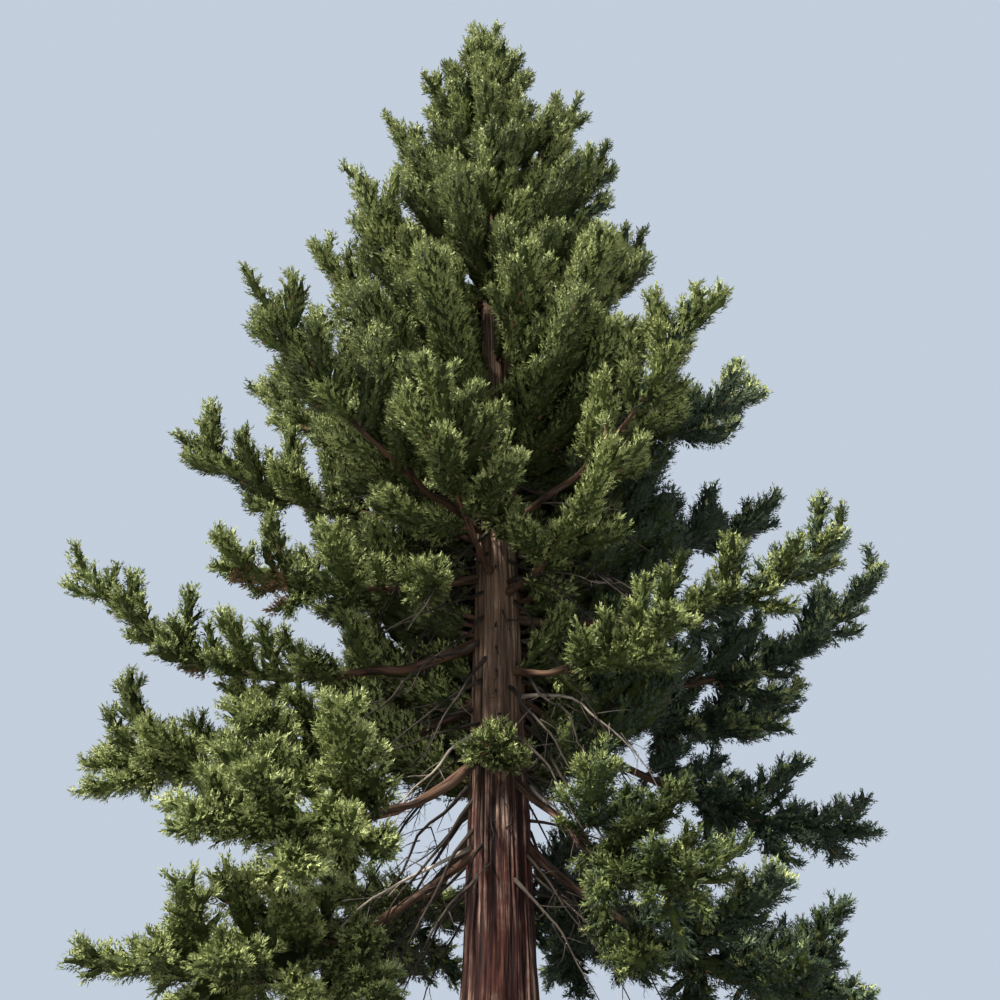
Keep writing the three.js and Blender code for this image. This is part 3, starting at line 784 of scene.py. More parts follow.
def plumes(sprays, rng):
    """Every spray becomes a main plume on its own line, and fingers that leave that line all round it and
    curl up. Fingers that don't stand free are left out. order is 0 for a main plume and 1 for a finger."""
    fitting = np.round(FINGERS_PER_RADIUS * sprays["length"] / sprays["radius"])
    fingers_each = np.maximum(FEWEST_FINGERS, fitting).astype(int)
    fingers = branches(sprays, fingers_each, FINGERS_FROM, FINGERS_TO, FINGER_LEAN, FINGER_RISES,
                       FINGER_LENGTH * sprays["radius"], FINGER_SHORTENS, FINGER_CURL, rng)
    fingers["radius"] = FINGER_RADIUS * fingers["length"]
    own_tone = rng.random(len(fingers["length"]))
    fingers["tone"] = (1 - OWN_TONE) * sprays["tone"][fingers["parent"]] + OWN_TONE * own_tone
    fingers["tuft"] = sprays["tuft"][fingers["parent"]]
    clear = stands_free(fingers["arc"], FINGER_CLEAR, FINGERS_BESIDE, fingers["tuft"])
    share = MAIN_PLUME_RADIUS + (UPRIGHT_PLUME_RADIUS - MAIN_PLUME_RADIUS) * sprays["upright"]
    main = dict(sprays, radius=share * sprays["radius"])
    order = np.concatenate([np.zeros(len(main["radius"]), int), np.ones(int(clear.sum()), int)])
    both = {key: np.concatenate([main[key], fingers[key][clear]]) for key in sprays}
    return dict(both, order=order)


def fill_plumes(rng):
    """Short plumes that leave the trunk a golden turn apart where the crown closes round it, and sweep
    upwards. Each reaches a least length, and a share of the crown's reach there, which narrows evenly to
    its top. More of them start lower down, behind the trunk only, where the crown's reach is taken as one
    width and the golden section shares out the back's arc between them."""
    k = np.arange(FILL_PLUMES + BACK_FILL_PLUMES)
    share = rng.random(len(k))
    behind = k >= FILL_PLUMES
    back_z = BACK_FILL_FROM + (BACK_FILL_TO - BACK_FILL_FROM) * share
    z = np.where(behind, back_z, FILL_FROM + (FILL_TO - FILL_FROM) * share ** FILL_CROWDS)
    angle = np.where(behind, BACK_ARC * np.mod(GOLDEN_SECTION * k, 1) + BACK_ARC_FROM, GOLDEN_TURN * k)
    angle = np.radians(angle)
    out = np.stack([np.cos(angle), np.sin(angle), 0 * angle], -1)
    widest = np.where(behind, BACK_FILL_WIDEST, CROWN_SLOPE * (CROWN_TOP - z))
    reach = (FILL_LEAST + widest * (FILL_REACH + FILL_REACH_VARIES * rng.random(len(k))))[:, None]
    foot = trunk_axis(z) + FILL_INSIDE * trunk_radius(z)[:, None] * out
    middle = foot + out * FILL_MIDDLE * reach + UP * FILL_MIDDLE_RISES * reach
    arc = np.stack([foot, middle, foot + out * reach + UP * FILL_RISES * reach], 1)
    fill = {"arc": arc, "start": np.full(len(k), FILL_BARE), "mass": FILL_MASSES_APART * k,
            "radius": FILL_RADIUS + FILL_RADIUS_GROWS * reach[:, 0],
            "upright": np.ones(len(k)), "tuft": np.zeros(len(k), bool)}
    free = stands_free(arc, FINGER_CLEAR, BESIDE_TRUNK, fill["tuft"])
    return {key: values[free] for key, values in fill.items()}


def lattice(u, v, seed, wrap):
    """Smooth noise from 0 to 1: chance numbers at whole u and v, eased between. u closes after wrap."""
    u0, v0 = np.floor(u), np.floor(v)
    fu, fv = u - u0, v - v0
    fu, fv = fu * fu * (3 - 2 * fu), fv * fv * (3 - 2 * fv)
    a, b = np.mod(u0, wrap), np.mod(u0 + 1, wrap)
    step = v0 + 977 * seed
    low = chance(a, step) * (1 - fu) + chance(b, step) * fu
    high = chance(a, step + 1) * (1 - fu) + chance(b, step + 1) * fu
    return low * (1 - fv) + high * fv


def plume_surface(plume, index, along, turn):
    """A plume's lumpy outline: its width rises in an S from its foot's share to 1, and rounds off over its
    own radius at the tip, times lumps from smooth noise. Its section is an ellipse, the lower the less
    upright it is. Returns the middle, heading, direction out and radius."""
    start, arc = plume["start"][index], plume["arc"][index]
    heading = arc_heading(arc, start + (1 - start) * along)
    side, over = across(heading)
    out = side * np.cos(turn)[..., None] + over * np.sin(turn)[..., None]
    length, radius = plume["length"][index], plume["radius"][index]
    rise = np.minimum(1, along * length / np.minimum(PLUME_FOOT, PLUME_FOOT_SHARE * length))
    left = np.minimum(1, (1 - along) * length / radius)
    width = PLUME_FOOT_WIDTH + (1 - PLUME_FOOT_WIDTH) * rise * rise * (3 - 2 * rise)
    width = width * np.sqrt(np.maximum(0, 1 - (1 - left) ** 2))
    height = PLUME_FLAT + (1 - PLUME_FLAT) * plume["upright"][index]
    ellipse = 1 / np.sqrt(np.cos(turn) ** 2 + (np.sin(turn) / height) ** 2)
    around = np.mod(turn / (2 * np.pi), 1) * LUMPS_ROUND
    lumps = lattice(around, along * length / LUMP_LENGTH + LUMPS_APART * index, seed=5, wrap=LUMPS_ROUND)
    radius = radius * width * ellipse * (LUMP_LOW + LUMP_RELIEF * lumps)
    return arc_point(arc, start + (1 - start) * along), heading, out, radius


def spread_over(plume, total, rng):
    """Places spread over all plumes by their surface: evenly along each plume, and a golden turn apart."""
    area = plume["radius"] * plume["length"]
    counts = np.maximum(FEWEST_PLACES, np.round(total * area / area.sum())).astype(int)
    index = np.repeat(np.arange(len(counts)), counts)
    k = np.arange(len(index)) - np.repeat(np.cumsum(counts) - counts, counts)
    along = (k + rng.random(len(k))) / counts[index]
    turn = np.radians(GOLDEN_TURN * k) + 2 * np.pi * plume["turn"][index] + PLACE_TURNS * rng.random(len(k))
    return index, along, turn


def full_cells(plume):
    """A grid of cells over the crown. Points through every plume's core mark their cells as full. Returns
    the grid's lowest corner, the full cells, and the share of full cells in a cube of cells round each."""
    steps = np.maximum(FEWEST_STEPS, np.ceil(plume["length"] / CORE_STEP).astype(int))
    index = np.repeat(np.arange(len(steps)), steps)
    k = np.arange(len(index)) - np.repeat(np.cumsum(steps) - steps, steps)
    turn = 2 * np.pi * np.arange(CORE_TURNS) / CORE_TURNS
    index, along, turn = np.broadcast_arrays(index[:, None], ((k + 0.5) / steps[index])[:, None], turn[None])
    middle, _, out, radius = plume_surface(plume, index, along, turn)
    depth = np.linspace(0, 1, CORE_DEPTHS)[:, None, None, None]
    places = (middle + depth * CORE * radius[..., None] * out).reshape(-1, 3)
    margin = GRID_MARGIN * CELL
    lowest = places.min(0) - margin
    full = np.zeros(tuple(((places.max(0) + margin - lowest) / CELL).astype(int) + 1), bool)
    full[tuple(((places - lowest) / CELL).astype(int).T)] = True
    crowd = full.astype(np.float32)
    half = CROWD_CELLS // 2
    for axis in range(3):
        total = np.cumsum(crowd, axis=axis)
        crowd = (np.roll(total, -half, axis) - np.roll(total, half + 1, axis)) / CROWD_CELLS
    return lowest, full, crowd


def cell_of(places, lowest, full):
    """The cell that each place is in."""
    return tuple(np.clip((places - lowest) / CELL, 0, np.array(full.shape) - 1).astype(int).T)


def sprigs_of(at, heading, out, length, rng):
    """Sprigs of awl-shaped cords of scale leaves, one triangle each. They leave the sprig's line one after
    another, a golden turn apart and opened off it, and the last goes on almost along it. Each turns its
    flat side out of the plume, or nearly."""
    count = len(at)
    side, over = across(heading)
    step = np.arange(SPRIG_CORDS)
    turn = 2 * np.pi * rng.random((count, 1)) + np.radians(GOLDEN_TURN) * step
    opened = np.radians(CORD_OPENS + CORD_OPENS_MORE * rng.random((count, SPRIG_CORDS)))
    opened = np.where(step == SPRIG_CORDS - 1, LAST_CORD_OPENS, opened)[..., None]
    radial = side[:, None] * np.cos(turn)[..., None] + over[:, None] * np.sin(turn)[..., None]
    aim = heading[:, None] * np.cos(opened) + radial * np.sin(opened)
    along = CORDS_TO * step / (SPRIG_CORDS - 1)
    varied = SPRIG_SHORTEST + SPRIG_VARIES * rng.random((count, SPRIG_CORDS))
    far = (length[:, None] * (CORD_LENGTH - CORD_SHORTENS * along) * varied)[..., None]
    root = at[:, None] + (along * length[:, None])[..., None] * heading[:, None]
    facing = unit(out[:, None] + CORD_TWISTS * (rng.random((count, SPRIG_CORDS, 3)) - 0.5))
    half = 0.5 * CORD_WIDTH * far * unit(np.cross(aim, facing))
    corners = np.stack([root - half, root + half, root + far * aim], 2)
    return corners.reshape(count, -1, 3)


def share_between(value, bounds):
    """How far a value has come from the first bound, where it is 0, to the second, where it is 1."""
    nothing, everything = bounds
    return np.clip((value - nothing) / (everything - nothing), 0, 1)


def shade_at(at):
    """How far places are in the crown's own shade, on its right: all of them low down, and higher up those
    that are near the trunk and not in front."""
    low = share_between(at[:, 2], SHADE_LOW)
    inner = INNER_SHADE * share_between(at[:, 2], SHADE_INNER) * share_between(at[:, 0], SHADE_REACH)
    return share_between(at[:, 0], SHADE_SIDE) * np.maximum(low, inner * share_between(at[:, 1], SHADE_BACK))


def deal_greens(at, out, along, plume, index, rng):
    """Which green a sprig gets. How far along its plume it is and how far it faces up give a tone, which is
    painted sunlight on plume tips and upper sides. Its plume, its mass and a little chance vary that tone at
    random. The crown's own shade takes some of it away, as painted shade. The tone picks light to deep;
    towards the right and the back the cooler pair, which is painted sky-lit shade, is used instead. Round the
    dry spots most plumes' sprigs are dry, and so are a few of those that hang under a plume's inner half."""
    tone, mass = plume["tone"][index], plume["mass"][index]
    score = (ALONG_PAINTS_LIGHT * along + UP_PAINTS_LIGHT * out[:, 2] + PLUME_VARIES * tone
             + MASS_VARIES * chance(mass + 1, TONE_DRAW) + SPRIG_TONE_VARIES * rng.random(len(along)))
    shaded = shade_at(at)
    score -= SHADED_LOSES * shaded
    rank = np.argsort(np.argsort(score)) / len(score)
    # Painted shade: the cool pair goes to the right, the back and the crown's own shade, with some chance.
    cool_shade = (COOL_SHADE_SIDE @ at.T + COOL_BY_SHADE * shaded + COOL_BY_PLUME * (tone - 0.5)
            + COOL_BY_CHANCE * (rng.random(len(along)) - 0.5) > COOL_OVER)
    names = np.where(rank > MIDDLE_TO, "olive", np.where(rank > DEEP_TO, "middle", "deep"))
    names = np.where(rank > OLIVE_TO, "light", names)
    names = np.where(cool_shade & (rank <= MIDDLE_TO), "shade", np.where(cool_shade & (rank <= OLIVE_TO), "cool_shade", names))
    dry = np.any([np.linalg.norm(at - spot, axis=-1) < DRY_RADIUS for spot in DRY_SPOTS], axis=0)
    dry &= chance(index + 1, DRY_DRAW) < DRY_PLUMES
    under = (out[:, 2] < FACES_DOWN) & (along < INNER_HALF) & (rng.random(len(along)) < DRY_UNDER)
    return np.where(dry | under, "dry", names)


def tube_faces(count, rings, sides):
    """Triangles of closed tubes whose corners are a base point, rings of sides, and a tip point."""
    j = np.arange(sides)
    after = (j + 1) % sides
    base = np.stack([np.zeros(sides, int), 1 + after, 1 + j], -1)
    k = np.arange(rings - 1)[:, None] * sides + 1
    low, low_next, high, high_next = k + j, k + after, k + sides + j, k + sides + after
    wall = np.concatenate([np.stack([low, low_next, high_next], -1), np.stack([low, high_next, high], -1)])
    last = 1 + (rings - 1) * sides
    tip = np.stack([last + j, last + after, np.full(sides, 1 + rings * sides)], -1)
    one = np.concatenate([base, wall.reshape(-1, 3), tip])
    per_tube = rings * sides + 2
    return (np.arange(count)[:, None, None] * per_tube + one).reshape(-1, 3)


def tubes(path, radii, tip, level=False):
    """Closed tubes along paths. A ring's corner stands off the path by its radius, turned round the
    heading. The tip point stands ahead of the last ring."""
    count, rings, sides = radii.shape
    heading = unit(np.gradient(path, axis=1))
    chord = unit(path[:, -1] - path[:, 0])
    side = np.repeat(across(chord)[0][:, None], rings, axis=1)
    if level:
        side, heading = np.broadcast_to([1.0, 0, 0], path.shape), np.broadcast_to(UP, path.shape)
    over = unit(np.cross(heading, side))
    side = np.cross(over, heading)
    angle = 2 * np.pi * np.arange(sides) / sides
    ring = path[:, :, None] + radii[..., None] * (
        side[:, :, None] * np.cos(angle)[:, None] + over[:, :, None] * np.sin(angle)[:, None])
    end = path[:, -1] + heading[:, -1] * tip[:, None]
    corners = np.concatenate([path[:, :1], ring.reshape(count, -1, 3), end[:, None]], 1)
    return corners.reshape(-1, 3), tube_faces(count, rings, sides)


def inner_masses(plume, chosen, rings, sides, rng):
    """Inside each plume the sprigs are too close to see through. A closed tube there has a share of the
    outline's radius at each corner, more or less as chance has it. Plumes with as many rings are worked
    out together."""
    all_corners, all_faces, first = [], [], 0
    for count in np.unique(rings[chosen]):
        which = np.flatnonzero((rings == count) & chosen)
        share = INNER_FROM + INNER_SPAN * np.arange(count) / (count - 1)
        index, along, turn = np.broadcast_arrays(
            which[:, None, None], share[None, :, None], 2 * np.pi * np.arange(sides) / sides)
        middle, _, _, radius = plume_surface(plume, index, along, turn)
        rough = radius * INNER_MASS * (INNER_LOW + INNER_VARIES * rng.random(radius.shape))
        tips = INNER_TIP * radius[:, -1].mean(-1)
        corners, faces = tubes(middle[:, :, 0], np.maximum(THINNEST_INNER, rough), tips)
        all_corners.append(corners)
        all_faces.append(faces + first)
        first += len(corners)
    return np.concatenate(all_corners), np.concatenate(all_faces)


def spikes(base, tip, radius):
    """Three-sided closed spikes from base to tip."""
    heading = unit(tip - base)
    side, over = across(heading)
    angle = 2 * np.pi * np.arange(3) / 3
    ring = base[:, None] + radius[:, None, None] * (
        side[:, None] * np.cos(angle)[:, None] + over[:, None] * np.sin(angle)[:, None])
    corners = np.concatenate([ring, tip[:, None]], 1).reshape(-1, 3)
    one = np.array([[0, 2, 1], [0, 1, 3], [1, 2, 3], [2, 0, 3]])
    return corners, (4 * np.arange(len(base))[:, None, None] + one).reshape(-1, 3)


def bark_ridges(turn, z, seed):
    """Ridge height from 0 in a furrow to 1: the root of a sine that crosses zero once for each ridge round
    the limb, after noise has pushed the ridges sideways, so that they wander, join and end."""
    broad = lattice(turn * PUSH_ROUND, z / RIDGE_STRETCH, seed, PUSH_ROUND)
    fine = lattice(turn * FINE_PUSH_ROUND, z / (FINE_PUSH_TALL * RIDGE_STRETCH), seed + 1, FINE_PUSH_ROUND)
    push = broad + FINE_PUSH * fine
    return np.sqrt(np.abs(np.sin(np.pi * (turn * LIMB_RIDGES + RIDGE_WANDER * push))))


def mesh_piece(name, corners, faces, material, smooth):
    """A mesh object at the origin from whole arrays of corners and triangles."""
    mesh = bpy.data.meshes.new(name)
    mesh.vertices.add(len(corners))
    mesh.vertices.foreach_set("co", np.ascontiguousarray(corners, np.float32).ravel())
    mesh.loops.add(faces.size)
    mesh.loops.foreach_set("vertex_index", np.ascontiguousarray(faces, np.int32).ravel())
    mesh.polygons.add(len(faces))
    mesh.polygons.foreach_set("loop_start", np.arange(0, faces.size, 3, dtype=np.int32))
    mesh.update(calc_edges=True)
    mesh.shade_smooth() if smooth else mesh.shade_flat()
    mesh.materials.append(material)
    piece = bpy.data.objects.new(name, mesh)
    bpy.context.scene.collection.objects.link(piece)
    return piece


def corner_values(piece, name, values):
    """Keeps one number, or three, for each corner of a mesh. Its material reads them."""
    values = np.ascontiguousarray(values, np.float32)
    kind = "FLOAT" if values.ndim == 1 else "FLOAT_VECTOR"
    attribute = piece.data.attributes.new(name, kind, "POINT")
    attribute.data.foreach_set("value" if kind == "FLOAT" else "vector", values.ravel())


def foliage_piece(name, corners, faces, material, smooth):
    """A piece of foliage that stands for all the masses, whose names foliage_nodes holds."""
    piece = mesh_piece(name, corners, faces, material, smooth)
    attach(piece, "root")
    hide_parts(*foliage_nodes)


def wood_piece(piece):
    """A piece of thin wood that rides with the tree."""
    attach(piece, "root")


def trunk_piece(material):
    """The trunk as a round of angles and heights: taper, flare and flutes, less furrows. Broad and narrow
    ridges are the roots of how far smooth noise is from its middle, swayed sideways a little. Finer noise
    breaks them across."""
    z = TRUNK_TIP * np.linspace(0, 1, TRUNK_RINGS) ** RINGS_CROWD_LOW
    turn = np.arange(TRUNK_SIDES) / TRUNK_SIDES
    grid_turn, grid_z = np.meshgrid(turn, z)

    def noise(turns, cells, tall, seed):
        """Smooth noise with so many cells round the trunk, each so tall."""
        return lattice(turns * cells, grid_z / tall, seed, cells)

    flute = 1 + BUTTRESS_DEPTH * np.exp(-grid_z / FLARE_HEIGHT) * np.cos(2 * np.pi * BUTTRESSES * grid_turn)
    sway = BARK_SWAY * noise(grid_turn, 9, 2.2, 3)
    broad = np.sqrt(np.abs(2 * noise(grid_turn + sway, 46, 3.4, 5) - 1))
    narrow = np.sqrt(np.abs(2 * noise(grid_turn + sway, 112, 1.5, 8) - 1))
    height = BROAD_RIDGES * broad + NARROW_RIDGES * narrow + CROSS_BREAKS * noise(grid_turn, 40, 0.5, 12)
    thick = trunk_radius(grid_z)
    depth = BARK_DEPTH * np.minimum(1, thick / THIN_BARK_UNDER)
    radius = thick * flute + depth * (height - BARK_CREST)
    corners, faces = tubes(trunk_axis(z)[None], radius[None], np.array([TRUNK_CAP]), level=True)
    piece = mesh_piece("trunk_bark", corners, faces, material, True)
    corner_values(piece, "ridge", np.concatenate([[FLAT_BARK], height.ravel(), [FLAT_BARK]]))
    grain = np.stack([np.cos(2 * np.pi * grid_turn), np.sin(2 * np.pi * grid_turn), grid_z], -1)
    grain = np.concatenate([[[0, 0, 0]], grain.reshape(-1, 3), [[0, 0, TRUNK_TIP]]])
    corner_values(piece, "grain", grain)
    return piece


def limbs_piece(name, arcs, to, start_radius, end_radius, material,
                sides, rings, seed, collar, relief, wander):
    """Limbs along arcs, thinning evenly to their end's radius, with a collar at the foot, ridges and low
    knots. Between their ends they wander off the arc by smooth noise, at most half a wander each way. Each
    limb reads its own stretch of the noise."""
    count = len(arcs)
    share = np.linspace(0, 1, rings)
    nth = np.arange(count)
    path = arc_point(arcs[:, None], share[None] * to[:, None])
    lengths = arc_length(arcs, np.zeros(count)) * to
    side, over = across(arc_heading(arcs, np.full(count, 0.5)))
    bend = BENDS_APART * nth[:, None] + lengths[:, None] * share / BEND_EVERY
    ease = (np.minimum(1, 4 * share * (1 - share)) * wander)[None, :, None]
    path = path + ease * (side[:, None] * (lattice(0 * bend, bend, seed + 9, 4) - 0.5)[..., None]
                          + over[:, None] * (lattice(0 * bend + 2, bend, seed + 9, 4) - 0.5)[..., None])
    distance = lengths[:, None, None] * share[None, :, None]
    turn = (np.arange(sides) / sides)[None, None] + 0 * distance
    even = start_radius[:, None] + (end_radius - start_radius)[:, None] * share[None]
    ridges = bark_ridges(turn, distance + RIDGES_APART * nth[:, None, None], seed)
    knots = lattice(turn * 4, distance / KNOT_LENGTH + KNOTS_APART * nth[:, None, None], seed + 4, 4)
    height = (1 - KNOT_SHARE) * ridges + KNOT_SHARE * knots
    swell = 1 + collar * np.exp(-distance / COLLAR_LENGTH)
    radii = even[..., None] * swell * (1 + relief * (height - LIMB_CREST))
    corners, faces = tubes(path, radii, LIMB_CAP * end_radius)
    piece = mesh_piece(name, corners, faces, material, True)
    ends = np.full((count, 1), FLAT_BARK)
    corner_values(piece, "ridge", np.concatenate([ends, height.reshape(count, -1), ends], 1).ravel())
    grain = np.stack([GRAIN_RADIUS * np.cos(2 * np.pi * turn), GRAIN_RADIUS * np.sin(2 * np.pi * turn),
                      distance + GRAINS_APART * nth[:, None, None] + 0 * turn], -1).reshape(count, -1, 3)
    tips = np.stack([0 * lengths, 0 * lengths, lengths + GRAINS_APART * nth], -1)[:, None]
    corner_values(piece, "grain", np.concatenate([grain[:, :1], grain, tips], 1).reshape(-1, 3))
    return piece


def limbs_of(arc, rng):
    """Bare limbs along arcs, ready to branch."""
    count = len(arc)
    return {"arc": arc, "start": np.zeros(count), "mass": np.arange(count), "turn": rng.random(count),
            "upright": np.full(count, DEAD_UPRIGHT), "length": arc_length(arc, np.zeros(count))}


def dead_limbs(rng):
    """Dead limbs that leave the lower trunk a golden turn apart. They hang almost straight, from a little
    under level to nearly twice as far down as out, and the ones in front are stubs."""
    k = np.arange(DEAD_LIMBS)
    z = DEAD_FROM + (DEAD_TO - DEAD_FROM) * (k + rng.random(len(k))) / len(k)
    angle = np.radians(GOLDEN_TURN * k + DEAD_TURNS * rng.random(len(k)))
    out = np.stack([np.cos(angle), np.sin(angle), 0 * angle], -1)
    drop = DEAD_DROP + DEAD_DROP_VARIES * rng.random(len(k))
    reach = (DEAD_REACH + DEAD_REACH_VARIES * rng.random(len(k))) / np.sqrt(1 + 0.5 * drop * drop)
    reach = np.minimum(reach, (z - DEAD_LOWEST) / drop) * np.where(out[:, 1] < IN_FRONT, STUB, 1)
    reach, drop = reach[:, None], drop[:, None]
    foot = trunk_axis(z) + DEAD_INSIDE * trunk_radius(z)[:, None] * out
    middle = foot + (0.5 * out - DEAD_MIDDLE_DROPS * drop * UP) * reach
    arc = np.stack([foot, middle, foot + (out - drop * UP) * reach], 1)
    return limbs_of(arc, rng)


def branched_wood(name, limbs, radius, material, rng):
    """Bare limbs with two finer orders of twigs, that leave them by the same rule and hang a little."""
    wood_piece(limbs_piece(name, limbs["arc"], np.ones(len(radius)), radius, DEAD_END * radius, material,
                           sides=6, rings=14, seed=51, collar=0.5, relief=0.3, wander=0.35))
    each = np.maximum(FEWEST_TWIGS, (TWIGS_PER_METRE * limbs["length"]).astype(int))
    side = branches(limbs, each, TWIGS_FROM, TWIGS_TO, TWIG_LEAN, TWIG_RISES,
                    TWIG_LENGTH * limbs["length"], TWIG_SHORTENS, TWIG_CURL, rng)
    thin = TWIG_RADIUS * radius[side["parent"]] * (1 - TWIG_THINS * side["along"])
    wood_piece(limbs_piece(f"{name}_twigs", side["arc"], np.ones(len(thin)), thin, TWIG_END * thin, material,
                           sides=3, rings=6, seed=57, collar=0.2, relief=0.2, wander=0.1))
    fine = branches(side, np.full(len(thin), TIPS_EACH), TIPS_FROM, TIPS_TO, TIP_LEAN, TWIG_RISES,
                    TIP_LENGTH * side["length"], TIP_SHORTENS, TIP_CURL, rng)
    corners, faces = spikes(fine["arc"][:, 0], fine["arc"][:, 2], TIP_RADIUS * thin[fine["parent"]])
    wood_piece(mesh_piece(f"{name}_tips", corners, faces, material, False))


def new_group(name, inputs, outputs):
    """A shader node group with named sockets. Inputs give a kind and a default value."""
    group = bpy.data.node_groups.new(name, "ShaderNodeTree")
    for label, (kind, value) in inputs.items():
        socket = group.interface.new_socket(name=label, in_out="INPUT", socket_type=kind)
        if value is not None:
            socket.default_value = value
    for label, kind in outputs.items():
        group.interface.new_socket(name=label, in_out="OUTPUT", socket_type=kind)
    return group, group.nodes.new("NodeGroupInput"), group.nodes.new("NodeGroupOutput")


def feed(tree, socket, value):
    """Links a socket to another node's output, or sets it to a value."""
    if isinstance(value, bpy.types.NodeSocket):
        tree.links.new(value, socket)
    else:
        socket.default_value = value


def node(tree, kind, links=None, **values):
    """A node with its settings. links gives its sockets values, or other nodes' outputs."""
    made = tree.nodes.new(kind)
    for key, value in values.items():
        setattr(made, key, value)
    for key, value in (links or {}).items():
        feed(tree, made.inputs[key], value)
    return made


def worked_out(tree, operation, *numbers, clamped=False):
    """What an operation makes of numbers or other nodes' outputs."""
    made = node(tree, "ShaderNodeMath", dict(enumerate(numbers)), operation=operation, use_clamp=clamped)
    return made.outputs[0]


def ranged(tree, value, start, end, to_start=0.0, to_end=1.0):
    """A value between two bounds, brought evenly between two others."""
    return node(tree, "ShaderNodeMapRange", {
        "Value": value, "From Min": start, "From Max": end, "To Min": to_start, "To Max": to_end}).outputs[0]


def noise_at(tree, place, scale, detail, roughness):
    """Smooth noise at a place."""
    return node(tree, "ShaderNodeTexNoise", {
        "Vector": place, "Scale": scale, "Detail": detail, "Roughness": roughness}).outputs[0]


def ramp_of(tree, factor, stops):
    """A colour ramp: stops are places with colours."""
    ramp = node(tree, "ShaderNodeValToRGB", {0: factor})
    while len(ramp.color_ramp.elements) < len(stops):
        ramp.color_ramp.elements.new(0.5)
    for element, (place, colour) in zip(ramp.color_ramp.elements, stops):
        element.position = place
        element.color = (*colour, 1)
    return ramp.outputs["Color"]


def mixed(tree, factor, low, high):
    """Two colours mixed by a factor."""
    mix = node(tree, "ShaderNodeMix", {"Factor": factor}, data_type="RGBA")
    for socket, colour in ((mix.inputs[6], low), (mix.inputs[7], high)):
        feed(tree, socket, colour if isinstance(colour, bpy.types.NodeSocket) else (*colour, 1))
    return mix.outputs[2]


def new_material(name):
    """A material with an empty Principled shader."""
    material = bpy.data.materials.new(name)
    material.use_nodes = True
    tree = material.node_tree
    shader = next(n for n in tree.nodes if n.type == "BSDF_PRINCIPLED")
    return material, tree, shader


def use_group(tree, group, links):
    """A node group placed in a material with its own values."""
    placed = tree.nodes.new("ShaderNodeGroup")
    placed.node_tree = group
    for key, value in links.items():
        feed(tree, placed.inputs[key], value)
    return placed


def fibre_group():
    """Wood fibre: noise stretched along the grain, in a coarse and a fine size, added up."""
    group, given, out = new_group("Fibre", {
        "Grain": ("NodeSocketVector", None),
        "Size": ("NodeSocketFloat", 8.0),
        "Stretch": ("NodeSocketFloat", 0.12),
    }, {"Height": "NodeSocketFloat", "Streak": "NodeSocketFloat"})
    squash = node(group, "ShaderNodeCombineXYZ", {"X": 1.0, "Y": 1.0, "Z": given.outputs["Stretch"]})
    drawn = node(group, "ShaderNodeVectorMath", {0: given.outputs["Grain"], 1: squash.outputs[0]},
                 operation="MULTIPLY").outputs[0]
    coarse = noise_at(group, drawn, given.outputs["Size"], 5.0, 0.62)
    fine = noise_at(group, drawn, worked_out(group, "MULTIPLY", given.outputs["Size"], 4.5), 3.0, 0.7)
    height = worked_out(group, "ADD", coarse, worked_out(group, "MULTIPLY", fine, 0.45))
    group.links.new(height, out.inputs["Height"])
    group.links.new(coarse, out.inputs["Streak"])
    return group


def needle_group():
    """Scale-leaf sprays: a broad patchiness of two greens and a fine grain of scales."""
    group, given, out = new_group("Needles", {
        "Place": ("NodeSocketVector", None),
        "Shade": ("NodeSocketColor", (0.05, 0.08, 0.03, 1)),
        "Lit": ("NodeSocketColor", (0.1, 0.14, 0.05, 1)),
        "Scale": ("NodeSocketFloat", 38.0),
    }, {"Colour": "NodeSocketColor", "Roughness": "NodeSocketFloat", "Height": "NodeSocketFloat"})
    place = given.outputs["Place"]
    patch = noise_at(group, place, 1.6, 3.0, 0.6)
    scales = noise_at(group, place, given.outputs["Scale"], 2.0, 0.7)
    share = ranged(group, worked_out(group, "MULTIPLY_ADD", scales, 0.5, patch), 0.55, 0.95)
    group.links.new(mixed(group, share, given.outputs["Shade"], given.outputs["Lit"]), out.inputs["Colour"])
    group.links.new(ranged(group, scales, 0.3, 0.7, 0.5, 0.75), out.inputs["Roughness"])
    group.links.new(scales, out.inputs["Height"])
    return group


